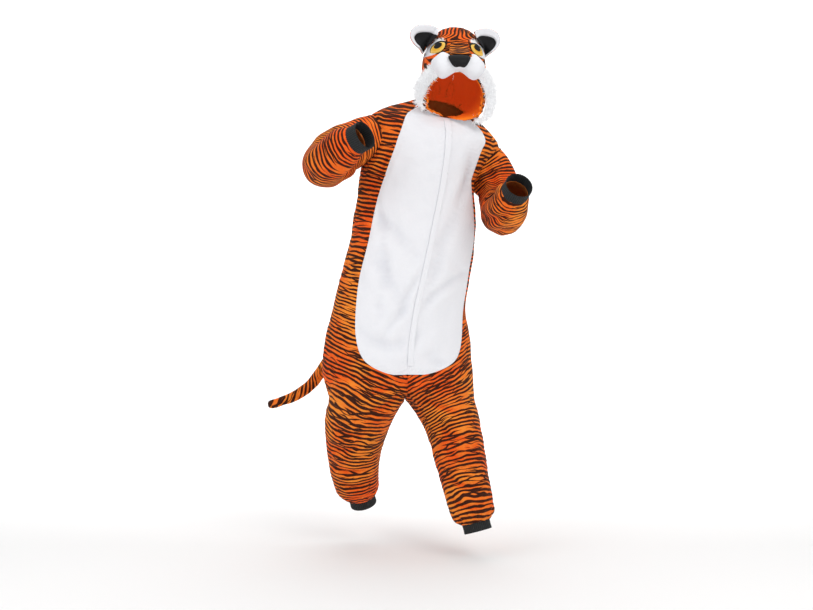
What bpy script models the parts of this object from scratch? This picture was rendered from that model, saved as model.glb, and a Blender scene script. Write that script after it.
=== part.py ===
"""A worn tiger costume: hooded all-in-one of striped plush, with its tail, ears and padded snout.

Units are metres, +Z is up and the costume's front faces -Y. The origin is the middle of the neck
seam, where the costume hangs from its wearer's shoulders. Right and left are the wearer's own.
Every cloth piece is a wall between two point sheets, and pieces that meet at a seam share the same
surface function, with a small gap between them.
"""
import math

import bpy
import numpy as np

# Cloth and seams
PLUSH = 0.0025
LINING = 0.0020
RIB = 0.0030
SEAM = 0.0003
LAY = 0.0006
STEP = 0.0008

# Landmarks down the body, as drops below the neck seam
SHOULDER_TIP = 0.075
ARMPIT = {"right": 0.2275, "left": 0.235}
BELLY_ROUND = 0.776
BELLY_BOTTOM = 0.872
CROTCH = 0.957
HEM = {"right": 1.306, "left": 1.348}
ARMHOLE_DEPTH = {"right": 0.074, "left": 0.062}
SIDES = {"right": -1.0, "left": 1.0}

# Rows and columns of the point sheets
SHOULDER_ROWS = 4
ARMHOLE_ROWS = 10
TRUNK_ROWS = 11
CROTCH_STEPS = (1.0, 0.7, 0.4, 0.2, 0.0)
LEG_SPREAD = 1.0
LEG_ROWS = 10
BODY_COLUMNS = 9
BELLY_COLUMNS = 5

# Sections of the trunk: place of the middle, turn and tilts in degrees, half widths and depths,
# how far the section is split into legs, and how far round the belly panel reaches
TRUNK_COLUMNS = ("drop", "x", "y", "z", "yaw", "roll", "pitch", "reach_right", "reach_left",
                 "front", "back", "split", "belly_right", "belly_left")
TRUNK = [
    (0.000, 0.000, 0.000, 0.000, 9, 10, 32, 0.090, 0.088, 0.094, 0.074, 0.00, 64, 64),
    (0.030, -0.005, 0.006, -0.028, 11, 11, 20, 0.160, 0.150, 0.108, 0.094, 0.00, 47, 54),
    (0.075, -0.013, 0.013, -0.073, 13, 12, 9, 0.222, 0.210, 0.124, 0.113, 0.00, 37, 42),
    (0.137, -0.0255, 0.020, -0.137, 15, 10, 3, 0.226, 0.188, 0.138, 0.120, 0.00, 41, 42),
    (0.228, -0.045, 0.030, -0.2275, 17, 6, 0, 0.229, 0.152, 0.147, 0.125, 0.00, 47, 52),
    (0.290, -0.058, 0.036, -0.290, 18, 4, 0, 0.224, 0.164, 0.150, 0.125, 0.00, 52, 58),
    (0.3315, -0.068, 0.040, -0.3315, 18, 3, 0, 0.221, 0.182, 0.152, 0.125, 0.00, 55, 60),
    (0.446, -0.094, 0.050, -0.446, 19, 1, 0, 0.214, 0.209, 0.155, 0.128, 0.00, 57, 62),
    (0.561, -0.120, 0.060, -0.561, 19, 1, 0, 0.221, 0.216, 0.158, 0.137, 0.00, 57, 62),
    (0.660, -0.138, 0.070, -0.660, 17, 0, 0, 0.227, 0.222, 0.160, 0.149, 0.00, 51, 60),
    (0.776, -0.145, 0.080, -0.776, 13, 0, 0, 0.248, 0.247, 0.162, 0.163, 0.08, 42, 52),
    (0.840, -0.143, 0.085, -0.840, 12, 0, 0, 0.254, 0.250, 0.160, 0.166, 0.28, 34, 44),
    (0.872, -0.141, 0.090, -0.872, 11, 0, 0, 0.255, 0.250, 0.158, 0.165, 0.43, 30, 40),
    (0.957, -0.123, 0.100, -0.957, 9, 0, 0, 0.250, 0.236, 0.150, 0.152, 1.00, 20, 30),
]

# Sections of each leg below the crotch
LEG_COLUMNS = ("drop", "x", "y", "z", "yaw", "roll", "pitch", "across", "front", "back")
LEG = {
    "right": [
        (1.030, -0.279, 0.112, -1.030, 8, 6, 14, 0.112, 0.124, 0.124),
        (1.135, -0.294, 0.150, -1.135, 8, 4, 18, 0.093, 0.102, 0.102),
        (1.220, -0.292, 0.183, -1.220, 8, 0, 20, 0.083, 0.090, 0.090),
        (1.266, -0.284, 0.200, -1.264, 8, -10, 20, 0.075, 0.081, 0.081),
        (1.291, -0.276, 0.208, -1.287, 8, -14, 19, 0.062, 0.066, 0.066),
        (1.306, -0.269, 0.212, -1.300, 8, -16, 18, 0.046, 0.049, 0.049),
    ],
    "left": [
        (1.030, 0.035, 0.090, -1.027, 10, -10, -18, 0.092, 0.114, 0.114),
        (1.120, 0.056, 0.052, -1.120, 10, -15, -24, 0.089, 0.098, 0.098),
        (1.198, 0.073, 0.014, -1.198, 10, -14, -26, 0.080, 0.088, 0.088),
        (1.275, 0.089, -0.014, -1.275, 10, -13, -19, 0.076, 0.082, 0.082),
        (1.324, 0.102, -0.026, -1.323, 10, -13, -14, 0.068, 0.073, 0.073),
        (1.348, 0.108, -0.031, -1.343, 10, -13, -12, 0.047, 0.050, 0.050),
    ],
}

# Folds of the trunk: from one drop and angle round from the centre front to another
TRUNK_FOLD_COLUMNS = ("drop_from", "round_from", "drop_to", "round_to", "width", "height")
TRUNK_FOLDS = [
    (0.26, 70, 0.56, 8, 0.020, 0.007),
    (0.33, 78, 0.66, 20, 0.018, 0.006),
    (0.46, 88, 0.74, 36, 0.022, 0.006),
    (0.22, -66, 0.40, -20, 0.022, 0.005),
    (0.52, -95, 0.72, -50, 0.022, 0.006),
    (0.70, -80, 0.84, -20, 0.020, 0.006),
    (0.72, 84, 0.86, 26, 0.020, 0.006),
    (0.12, -30, 0.30, -14, 0.018, 0.004),
    (0.28, 140, 0.55, 170, 0.024, 0.006),
    (0.30, -140, 0.58, -168, 0.024, 0.006),
    (0.60, 118, 0.74, 160, 0.024, 0.006),
    (0.62, -118, 0.76, -160, 0.024, 0.006),
    (0.78, 110, 0.90, 165, 0.022, 0.006),
    (0.80, -110, 0.91, -165, 0.022, 0.006),
]

# Folds of the legs: angles run from the inseam over the front
LEG_FOLD_COLUMNS = ("side", "drop_from", "round_from", "drop_to", "round_to", "width", "height")
LEG_FOLDS = [
    ("right", 0.93, 30, 1.06, 110, 0.020, 0.007),
    ("right", 1.04, 150, 1.16, 70, 0.018, 0.006),
    ("right", 1.14, 40, 1.22, 130, 0.018, 0.007),
    ("right", 1.21, 150, 1.26, 60, 0.016, 0.008),
    ("right", 1.05, 215, 1.14, 300, 0.020, 0.006),
    ("right", 1.18, 320, 1.25, 230, 0.018, 0.007),
    ("left", 0.94, 40, 1.07, 120, 0.020, 0.007),
    ("left", 1.05, 150, 1.17, 60, 0.018, 0.006),
    ("left", 1.16, 40, 1.25, 130, 0.018, 0.007),
    ("left", 1.24, 150, 1.30, 60, 0.016, 0.008),
    ("left", 1.06, 215, 1.15, 300, 0.020, 0.006),
    ("left", 1.20, 320, 1.28, 230, 0.018, 0.007),
]
GATHER_WAVES = 8
GATHER_DEPTH = 0.0035
GATHER_RISE = 0.045
TRUNK_GIRTH_RADIUS = 0.20
LEG_GIRTH_RADIUS = 0.09

# Sleeves: the line through the middle of each, with its half width
SLEEVE_COLUMNS = ("x", "y", "z", "radius")
SLEEVE = {
    "right": [
        (-0.320, -0.078, -0.155, 0.085),
        (-0.367, -0.130, -0.199, 0.077),
        (-0.373, -0.185, -0.210, 0.070),
        (-0.342, -0.238, -0.194, 0.066),
        (-0.300, -0.276, -0.166, 0.062),
        (-0.268, -0.300, -0.151, 0.046),
    ],
    "left": [
        (0.178, 0.070, -0.236, 0.072),
        (0.194, 0.042, -0.300, 0.070),
        (0.195, -0.020, -0.349, 0.071),
        (0.200, -0.092, -0.344, 0.067),
        (0.209, -0.148, -0.318, 0.061),
        (0.220, -0.186, -0.296, 0.046),
    ],
}
SLEEVE_RINGS = 16
SLEEVE_BLEND = 0.34
SLEEVE_FOLD_WAVES = 5.0
SLEEVE_FOLD_HEIGHT = 0.0035
SLEEVE_GATHERS = 6
BEND_ROOM = 0.70
WRIST_CUFF_LENGTH = 0.036
WRIST_CUFF_RADIUS = 0.0445
ANKLE_CUFF_LENGTH = 0.026
ANKLE_CUFF_RADIUS = 0.0460
CUFF_COLUMNS = 16
CUFF_ROWS = 3
CUFF_WAIST = 0.0012

# Placket on the centre front
PLACKET_WIDTH = 0.015
PLACKET_TOP = 0.012
PLACKET_END = 0.850
PLACKET_THICKNESS = 0.0016

# Hood: a rounded box form round its own middle
HEAD_MIDDLE = (0.0345, -0.045, 0.083)
HEAD_YAW = 6.0
HEAD_ROLL = 2.0
HEAD_PITCH = 3.0
HOOD_HALF_WIDTH = 0.1035
HOOD_FRONT = 0.120
HOOD_BACK = 0.124
HOOD_TOP = 0.163
HOOD_BOTTOM = 0.215
HOOD_ROUNDNESS = 2.5
CHEEK_FLARE = 0.06
CHEEK_DROP = 0.10
STRIP_HALF_WIDTH = 0.034
STRIP_HALF_WIDTH_NAPE = 0.020
FOREHEAD_ANGLE = 2.0
NAPE_ANGLE = 190.0
NECK_FRONT_ANGLE = 12.0
NECK_BACK_ANGLE = 162.0
NAPE_START = 0.72
OPENING_WIDTH = 0.099
OPENING_MIDDLE_Z = -0.073
OPENING_HALF_HEIGHT = 0.070
OPENING_CHIN_FORWARD = 0.62
OPENING_BROW_FORWARD = 0.30
HOOD_ROWS = 10
HOOD_COLUMNS = 10
CROWN_COLUMNS = 4
NECK_HOLD = 0.055
NECK_HOLD_HEIGHT = 0.100

# Fur trim round the face opening
TRIM_HALF_WIDTH = 0.021
TRIM_HEIGHT = 0.026
TRIM_OVERHANG = 0.009
TRIM_TUFTS = 13
TRIM_TUFT_DEPTH = 0.14
TRIM_STEPS = 42
TRIM_ARC = 6
TRIM_START = 0.20
TRIM_END_SHARE = 0.012
TRIM_END_RISE = 2.2
TRIM_EDGE = 0.0004
TRIM_SEAT = 0.0020

# Snout
MUZZLE_HALF_WIDTH = 0.084
MUZZLE_TOP = 0.056
MUZZLE_LOBE_BOTTOM = -0.030
MUZZLE_ARCH = 0.022
MUZZLE_END_Z = 0.004
MUZZLE_END_RISE = 0.027
MUZZLE_LOBE_PLACE = 0.46
MUZZLE_FORWARD = 0.196
MUZZLE_BACK = 0.100
MUZZLE_EDGE = 0.008
MUZZLE_FUR_CLEAR = 0.046
MUZZLE_SECTIONS = 15
MUZZLE_POINTS = 14
MUZZLE_SWEEP = 0.455
NOSE_HALF_SPAN = 0.44
NOSE_LIFT = 0.013
NOSE_EDGE = 0.0030
NOSE_SEAT = 0.0012
NOSE_COLUMNS = 9
NOSE_ROWS = 8
NOSE_TURN = 0.42
NOSE_HALF_TURN = 0.62
BRIDGE_HALF_WIDTH = 0.034
BRIDGE_BOTTOM = 0.060
BRIDGE_TOP = 0.094
BRIDGE_HEIGHT = 0.016
BRIDGE_SEAT = -0.0002
BRIDGE_EDGE = 0.0020
BRIDGE_COLUMNS = 9
BRIDGE_ROWS = 8

# Eyes, as places on the front of the hood; each layer's half sizes, rise, thickness, and finish
EYE_X = 0.060
EYE_SEAT = 0.0008
EYE_COLUMNS = 12
EYE_Z = 0.077
EYE_BULGE = 0.0025
EYE_LAYERS = [
    ("surround", 0.0205, 0.0225, 0.0005, 0.0016, "white"),
    ("iris", 0.0160, 0.0125, -0.0020, 0.0012, "iris"),
    ("pupil", 0.0075, 0.0085, -0.0020, 0.0010, "black"),
]

# Ears
EAR_MIDDLE_X = {"right": 0.104, "left": 0.100}
EAR_FORWARD = {"right": 0.053, "left": 0.045}
EAR_CLEAR = {"right": -0.0004, "left": -0.0016}
EAR_LAY = 0.0008
EAR_MIDDLE_Z = 0.119
EAR_RADIUS = 0.041
EAR_ROOT_FLAT = 0.24
EAR_THICKNESS = 0.0045
EAR_CUP = 0.010
EAR_TURN = {"right": 10.0, "left": 26.0}
EAR_INNER_SHARE = 0.66
EAR_INNER_THICKNESS = 0.0035
EAR_RIM_GAP = 0.01
EAR_RIM_MIDDLE = 0.84
EAR_RIM_SWELL = (0.0045, 0.0075, 0.0035)
EAR_COLUMNS = 16
EAR_RINGS = 2

# Tail
TAIL_COLUMNS = ("x", "y", "z", "radius")
TAIL = [
    (-0.188, 0.262, -0.716, 0.027),
    (-0.230, 0.292, -0.738, 0.0265),
    (-0.300, 0.306, -0.772, 0.0255),
    (-0.366, 0.296, -0.817, 0.0240),
    (-0.412, 0.276, -0.877, 0.0220),
    (-0.454, 0.258, -0.927, 0.0200),
    (-0.520, 0.238, -0.968, 0.0180),
    (-0.578, 0.224, -0.984, 0.0160),
]
TAIL_ROOT_DROP = 0.705
TAIL_ROOT_ANGLE = 262.0
TAIL_SEAT = 0.0005
TAIL_RINGS = 17
TAIL_POINTS = 12
TAIL_TIP_RINGS = ((0.55, 0.84), (0.88, 0.48))

COLOURS = {
    "tiger": ((0.84, 0.30, 0.045), 0.85),
    "white": ((0.86, 0.86, 0.90), 0.90),
    "rib": ((0.020, 0.022, 0.024), 0.80),
    "lining": ((0.95, 0.22, 0.02), 0.80),
    "black": ((0.012, 0.012, 0.014), 0.75),
    "iris": ((0.80, 0.62, 0.05), 0.60),
}


def scene_cleared():
    """Remove what the opened file holds."""
    for item in list(bpy.data.objects):
        bpy.data.objects.remove(item, do_unlink=True)


def material(finish):
    """The Principled material of one finish."""
    name = "mat_" + finish
    found = bpy.data.materials.get(name)
    if found:
        return found
    colour, roughness = COLOURS[finish]
    made = bpy.data.materials.new(name)
    made.use_nodes = True
    shader = made.node_tree.nodes["Principled BSDF"]
    shader.inputs["Base Color"].default_value = (*colour, 1.0)
    shader.inputs["Roughness"].default_value = roughness
    shader.inputs["Metallic"].default_value = 0.0
    return made


def node(name, points, faces, finish):
    """One named solid, turned so that its faces point outwards."""
    points = np.asarray(points, dtype=float)
    faces = np.asarray(faces, dtype=int)
    corner = points[faces]
    volume = np.einsum("ij,ij->i", corner[:, 0], np.cross(corner[:, 1], corner[:, 2])).sum()
    if volume < 0:
        faces = faces[:, ::-1]
    mesh = bpy.data.meshes.new(name)
    mesh.from_pydata(points.tolist(), [], faces.tolist())
    mesh.materials.append(material(finish))
    mesh.validate()
    made = bpy.data.objects.new(name, mesh)
    bpy.context.scene.collection.objects.link(made)
    mesh.shade_smooth()
    return made


def grid_faces(rows, columns, ring=False):
    """Triangles of a point grid, closed round its columns if it is a ring."""
    faces = []
    for i in range(rows - 1):
        for j in range(columns if ring else columns - 1):
            k = (j + 1) % columns
            a, b = i * columns + j, i * columns + k
            c, d = (i + 1) * columns + k, (i + 1) * columns + j
            faces += [(a, b, c), (a, c, d)]
    return faces


def walled(name, outer, inner, faces, finish):
    """A closed wall between an outer and an inner sheet of the same faces."""
    outer = outer.reshape(-1, 3)
    inner = inner.reshape(-1, 3)
    shift = len(outer)
    edges = set()
    for a, b, c in faces:
        edges.update([(a, b), (b, c), (c, a)])
    all_faces = list(faces) + [(c + shift, b + shift, a + shift) for a, b, c in faces]
    for a, b in sorted(edges):
        if (b, a) in edges:
            continue
        if a < b:
            all_faces += [(b, a, b + shift), (a, a + shift, b + shift)]
        else:
            all_faces += [(b, a, a + shift), (b, a + shift, b + shift)]
    return node(name, np.vstack([outer, inner]), all_faces, finish)


def capped_tube(name, rings, finish, first_middle=None):
    """A closed solid through rings of points, with a fan at each end."""
    if first_middle is None:
        first_middle = rings[0].mean(axis=0)
    rows, columns, _ = rings.shape
    faces = grid_faces(rows, columns, ring=True)
    start, end = rows * columns, rows * columns + 1
    last = (rows - 1) * columns
    for j in range(columns):
        k = (j + 1) % columns
        faces += [(start, k, j), (end, last + j, last + k)]
    points = np.vstack([rings.reshape(-1, 3), first_middle, rings[-1].mean(axis=0)])
    return node(name, points, faces, finish)


def flow(table, at):
    """Values of a table's columns at given keys: a smooth curve through its rows."""
    rows = np.asarray(table, dtype=float)
    keys, values = rows[:, 0], rows[:, 1:]
    slopes = np.empty_like(values)
    slopes[1:-1] = (values[2:] - values[:-2]) / (keys[2:] - keys[:-2])[:, None]
    slopes[0] = (values[1] - values[0]) / (keys[1] - keys[0])
    slopes[-1] = (values[-1] - values[-2]) / (keys[-1] - keys[-2])
    at = np.asarray(at, dtype=float)
    i = np.clip(np.searchsorted(keys, at, side="right") - 1, 0, len(keys) - 2)
    span = keys[i + 1] - keys[i]
    t = np.clip((at - keys[i]) / span, 0.0, 1.0)[..., None]
    span = span[..., None]
    curve = ((1 + 2 * t) * (1 - t) ** 2 * values[i] + t * (1 - t) ** 2 * span * slopes[i]
             + t * t * (3 - 2 * t) * values[i + 1] + t * t * (t - 1) * span * slopes[i + 1])
    over = np.where(at < keys[0], at - keys[0], np.where(at > keys[-1], at - keys[-1], 0.0))
    return curve + over[..., None] * np.where((at < keys[0])[..., None], slopes[0], slopes[-1])


def unit(vector):
    """A vector, or an array of them, at length one."""
    return vector / np.maximum(np.linalg.norm(vector, axis=-1, keepdims=True), 1e-12)


def frame(yaw, roll, pitch):
    """Across, forward and up axes of a section, from its turn and tilts in degrees."""
    yaw, roll, pitch = np.radians(yaw), np.radians(roll), np.radians(pitch)
    cy, sy, cr, sr, cp, sp = (np.cos(yaw), np.sin(yaw), np.cos(roll),
                              np.sin(roll), np.cos(pitch), np.sin(pitch))
    across = np.stack([cy * cr, sy * cr, -sr], axis=-1)
    forward = np.stack([sy * cp, -cy * cp, -sp], axis=-1)
    forward = unit(forward - (forward * across).sum(-1, keepdims=True) * across)
    return across, forward, np.cross(forward, across)


def fold_height(folds, drop, around, girth):
    """Height of the soft ridges of a fold table at points of a panel."""
    height = np.zeros_like(drop)
    for drop_from, round_from, drop_to, round_to, width, rise in folds:
        ax, ay = drop_from, math.radians(round_from) * girth
        bx, by = drop_to, math.radians(round_to) * girth
        px, py = drop, np.radians(around) * girth
        length = (bx - ax) ** 2 + (by - ay) ** 2
        t = ((px - ax) * (bx - ax) + (py - ay) * (by - ay)) / length
        near = np.clip(t, 0.0, 1.0)
        away = np.hypot(px - ax - near * (bx - ax), py - ay - near * (by - ay))
        height += rise * np.exp(-(away / width) ** 2) * (0.35 + 0.65 * np.sin(np.pi * near))
    return height


def smooth_step(value, low, high):
    """A soft step from 0 at low to 1 at high."""
    t = np.clip((value - low) / (high - low), 0.0, 1.0)
    return t * t * (3 - 2 * t)


def oval_at(side, drop):
    """The section of one side of the body at given drops, trunk above the crotch and leg below."""
    sign = SIDES[side]

    def trunk_oval(at):
        row = flow(TRUNK, at)
        x, y, z, yaw, roll, pitch, right, left, front, back, split = np.moveaxis(row[..., :11], -1, 0)
        reach = right if side == "right" else left
        share = np.clip(split, 0.0, 1.0)
        offset = share * reach / 2
        across, _, _ = frame(yaw, roll, pitch)
        middle = np.stack([x, y, z], axis=-1) + sign * offset[..., None] * across
        return np.concatenate([middle, np.stack(
            [yaw, roll, pitch, reach - offset, front, back, offset], axis=-1)], axis=-1)

    joins = [CROTCH - 0.02, CROTCH]
    leg_rows = [(join, *trunk_oval(np.array(join))[:-1]) for join in joins] + LEG[side]
    drop = np.asarray(drop, dtype=float)
    trunk = trunk_oval(np.minimum(drop, CROTCH))
    leg = flow(leg_rows, np.maximum(drop, CROTCH))
    leg = np.concatenate([leg, leg[..., 6:7]], axis=-1)
    return np.where((drop <= CROTCH)[..., None], trunk, leg)


def opening_angle(side, drop):
    """Angle in degrees at which one side's section starts: 90 on the trunk, 0 on the leg."""
    row = oval_at(side, drop)
    across, offset = row[..., 6], row[..., 9]
    return np.degrees(np.arccos(np.clip(offset / across, -1.0, 1.0)))


def body_point(side, drop, angle):
    """Outer surface of the body at a drop and an angle from the inseam over the front."""
    drop, angle = np.broadcast_arrays(np.asarray(drop, float), np.asarray(angle, float))
    row = oval_at(side, drop)
    across, forward, _ = frame(row[..., 3], row[..., 4], row[..., 5])
    turn = np.radians(angle)
    deep = np.where(np.sin(turn) >= 0, row[..., 7], row[..., 8])
    sign = SIDES[side]
    out = -np.cos(turn)
    front = np.sin(turn)
    around = np.where(front >= 0, angle - 90, 270 - angle)
    around = sign * np.where(front >= 0, around, 180 - around)
    leg_share = smooth_step(drop, CROTCH - 0.07, CROTCH + 0.05)
    lift = fold_height(TRUNK_FOLDS, drop, around, TRUNK_GIRTH_RADIUS) * (1 - leg_share)
    own = [fold[1:] for fold in LEG_FOLDS if fold[0] == side]
    lift = lift + fold_height(own, drop, angle, LEG_GIRTH_RADIUS) * leg_share
    hem = HEM[side]
    gather = np.sin(np.pi * np.clip((drop - hem + GATHER_RISE) / GATHER_RISE, 0.0, 1.0))
    lift = lift + GATHER_DEPTH * gather * np.cos(GATHER_WAVES * turn)
    from_middle = row[..., 9] + out * row[..., 6]
    clear = np.where(drop < CROTCH + 0.04, smooth_step(from_middle, 0.0, 0.035), 1.0)
    wide = row[..., 6] + lift * np.abs(out) * clear
    deep = deep + lift * np.abs(front)
    return (row[..., :3] + (sign * out * wide)[..., None] * across
            + (front * deep)[..., None] * forward)


def normals(surface, first, second, first_step, second_step):
    """Unit normals of a surface function, from small steps along its two directions."""
    along = surface(first + first_step, second) - surface(first - first_step, second)
    round_ = surface(first, second + second_step) - surface(first, second - second_step)
    return unit(np.cross(along, round_))


def body_sheets(side, drops, angles, lift, thickness):
    """Outer and inner sheets of a panel that lies on the body, moved out by lift."""
    surface = lambda s, a: body_point(side, s, a)
    points = surface(drops, angles)
    up = normals(surface, drops, angles, STEP, 0.4)
    out = points - oval_at(side, drops)[..., :3]
    facing = np.sign((up * out).sum(-1, keepdims=True))
    up = up * facing
    return points + up * (lift + thickness), points + up * lift


def seam_turn(side, drop, edge):
    """Degrees by which a panel stops short of a seam that runs at the angle edge(drop)."""
    angle = edge(drop)
    per_degree = np.linalg.norm(
        body_point(side, drop, angle + 0.5) - body_point(side, drop, angle - 0.5), axis=-1)
    slope = (edge(drop + 0.002) - edge(drop - 0.002)) / 0.004 * per_degree
    return SEAM / 2 / per_degree * np.sqrt(1 + np.minimum(np.abs(slope), 8.0) ** 2)


def belly_angle(side, drop):
    """Angle of the seam between the belly panel and the striped front."""
    reach = flow(TRUNK, np.clip(drop, 0.0, BELLY_ROUND))[..., 11 if side == "right" else 12]
    down = np.clip((drop - BELLY_ROUND) / (BELLY_BOTTOM - BELLY_ROUND), 0.0, 1.0)
    return opening_angle(side, drop) + reach * np.sqrt(1 - down ** 2)


def armhole_half_angle(side, drop):
    """Half the armhole's width at a drop, in degrees from the side seam."""
    low, high = SHOULDER_TIP, ARMPIT[side]
    place = (drop - (low + high) / 2) / ((high - low) / 2)
    half = ARMHOLE_DEPTH[side] * np.sqrt(np.clip(1 - place ** 2, 0.0, 1.0))
    row = oval_at(side, drop)
    return np.degrees(np.arcsin(np.minimum(half / row[..., 7], 0.9)))


def cosine_rows(start, end, count):
    """Rows from start to end, closer together near both."""
    return start + (end - start) * (1 - np.cos(np.linspace(0, np.pi, count))) / 2


def body_drops(side):
    """Drops of the rows that every panel of one side shares."""
    pit = ARMPIT[side]
    parts = [
        np.linspace(0.0, SHOULDER_TIP, SHOULDER_ROWS),
        cosine_rows(SHOULDER_TIP, pit, ARMHOLE_ROWS),
        np.linspace(pit, BELLY_BOTTOM - 0.06, TRUNK_ROWS),
        BELLY_BOTTOM - 0.06 * np.array([1.0, 0.6, 0.3, 0.1, 0.0]),
        CROTCH - (CROTCH - BELLY_BOTTOM) * np.array(CROTCH_STEPS),
        CROTCH + (HEM[side] - 0.05 - CROTCH) * np.linspace(0, 1, LEG_ROWS - 3) ** LEG_SPREAD,
        HEM[side] - np.array([0.05, 0.032, 0.016, 0.0]),
    ]
    return np.concatenate([parts[0]] + [part[1:] for part in parts[1:]])


def panel_angles(side, drops, start, end, columns):
    """Angle grid of a panel between two seams, a seam gap inside each."""
    from_edge = start(drops) + seam_turn(side, drops, start)
    to_edge = end(drops) - seam_turn(side, drops, end)
    share = np.linspace(0.0, 1.0, columns)
    return from_edge[:, None] + (to_edge - from_edge)[:, None] * share


def build_body(side):
    """The front, back and belly panels of one side."""
    drops = body_drops(side)
    start = lambda s: opening_angle(side, s)
    back_start = lambda s: 360.0 - opening_angle(side, s)
    belly_edge = lambda s: np.where(s < BELLY_BOTTOM, belly_angle(side, s), opening_angle(side, s))
    front_end = lambda s: 180.0 - armhole_half_angle(side, s)
    back_end = lambda s: 180.0 + armhole_half_angle(side, s)
    faces = grid_faces(len(drops), BODY_COLUMNS)
    for name, low, high in (("front_", belly_edge, front_end), ("back_", back_end, back_start)):
        angles = panel_angles(side, drops, low, high, BODY_COLUMNS)
        grid = np.repeat(drops[:, None], BODY_COLUMNS, axis=1)
        outer, inner = body_sheets(side, grid, angles, -PLUSH, PLUSH)
        walled(name + side, outer, inner, faces, "tiger")
    rows = drops[drops < BELLY_BOTTOM - 1e-6]
    angles = panel_angles(side, rows, start, belly_edge, BELLY_COLUMNS)
    grid = np.repeat(rows[:, None], BELLY_COLUMNS, axis=1)
    outer, inner = body_sheets(side, grid, angles, -PLUSH, PLUSH)
    walled("belly_" + side, outer, inner, grid_faces(len(rows), BELLY_COLUMNS), "white")


def build_placket():
    """The strip over the belly's centre front, on the left half."""
    side = "left"
    drops = body_drops(side)
    drops = np.concatenate([[PLACKET_TOP], drops[(drops > PLACKET_TOP + 0.01) & (drops < PLACKET_END)]])
    per_degree = np.linalg.norm(body_point(side, drops, 91.0) - body_point(side, drops, 90.0), axis=-1)
    width = np.array([0.0, 0.5, 1.0]) * PLACKET_WIDTH
    begin = opening_angle(side, drops)
    angles = begin[:, None] + width / per_degree[:, None]
    grid = np.repeat(drops[:, None], len(width), axis=1)
    outer, inner = body_sheets(side, grid, angles, LAY, PLACKET_THICKNESS)
    walled("front_placket", outer, inner, grid_faces(len(drops), len(width)), "white")


def curve_through(points, count):
    """Evenly spaced places on a smooth curve through rows of values."""
    rows = np.asarray(points, dtype=float)
    gaps = np.linalg.norm(np.diff(rows[:, :3], axis=0), axis=1)
    keys = np.concatenate([[0.0], np.cumsum(gaps)])
    table = np.column_stack([keys, rows])
    return flow(table, np.linspace(0.0, keys[-1], count))


def carried_frames(path, first):
    """Frames carried along a path without twist, from a first across direction."""
    along = unit(np.gradient(path, axis=0))
    across = np.empty_like(along)
    direction = first
    for i, tangent in enumerate(along):
        direction = unit(direction - np.dot(direction, tangent) * tangent)
        across[i] = direction
    return along, across, np.cross(along, across)


def armhole_loop(side):
    """Points round the armhole, from the armpit up the front and down the back."""
    drops = cosine_rows(SHOULDER_TIP, ARMPIT[side], ARMHOLE_ROWS)
    front = body_point(side, drops[::-1], 180.0 - armhole_half_angle(side, drops[::-1]))
    back = body_point(side, drops[1:-1], 180.0 + armhole_half_angle(side, drops[1:-1]))
    return np.vstack([front, back])


def sleeve_rings(side):
    """Outer points of a sleeve, ring by ring from the armhole to the wrist."""
    loop = armhole_loop(side)
    middle = loop.mean(axis=0)
    columns = len(loop)
    rows = np.vstack([[*middle, 0.08], SLEEVE[side]])
    line = curve_through(rows, SLEEVE_RINGS)
    along, across, beside = carried_frames(line[:, :3], unit(loop[0] - middle))
    spread = loop - middle
    flat_across, flat_beside = spread @ across[0], spread @ beside[0]
    depth = spread @ along[0]
    own_angle = np.unwrap(np.arctan2(flat_beside, flat_across))
    own_angle = own_angle - own_angle[0]
    own_radius = np.hypot(flat_across, flat_beside)
    direction = 1.0 if own_angle[-1] > 0 else -1.0
    even = direction * np.linspace(0, 2 * np.pi, columns, endpoint=False)
    steps = np.linalg.norm(np.gradient(line[:, :3], axis=0), axis=1)
    bend = np.gradient(along, axis=0) / steps[:, None]
    share = np.linspace(0.0, 1.0, SLEEVE_RINGS)
    rings = []
    for i, place in enumerate(share):
        mix = float(smooth_step(place, 0.0, SLEEVE_BLEND))
        angle = own_angle * (1 - mix) + even * mix
        fold = SLEEVE_FOLD_HEIGHT * math.sin(2 * math.pi * SLEEVE_FOLD_WAVES * place)
        fold *= math.sin(math.pi * place) ** 0.5
        gather = GATHER_DEPTH * 0.8 * max(0.0, math.sin(math.pi * min(1.0, (place - 0.8) / 0.2)))
        radius = own_radius * (1 - mix) + line[i, 3] * mix
        radius = radius + fold * np.cos(angle * 2 + 6 * place) * mix
        radius = radius + gather * np.cos(SLEEVE_GATHERS * angle)
        direction_out = np.cos(angle)[:, None] * across[i] + np.sin(angle)[:, None] * beside[i]
        inside = np.clip(direction_out @ unit(bend[i]), 0.0, 1.0) ** 1.2
        tight = np.clip(1 - BEND_ROOM / (radius * np.linalg.norm(bend[i]) + 1e-9), 0.0, 0.6)
        radius = radius * (1 - tight * inside)
        ring = (line[i, :3] + (radius * np.cos(angle))[:, None] * across[i]
                + (radius * np.sin(angle))[:, None] * beside[i]
                + (depth * (1 - mix))[:, None] * along[i])
        rings.append(ring)
    return np.array(rings), line, along, across, beside


def ring_normals(rings):
    """Outward unit normals of a ringed surface."""
    along = np.gradient(rings, axis=0)
    round_ = np.roll(rings, -1, axis=1) - np.roll(rings, 1, axis=1)
    up = unit(np.cross(along, round_))
    out = rings - rings.mean(axis=1, keepdims=True)
    return up * np.sign((up * out).sum(-1, keepdims=True))


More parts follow.
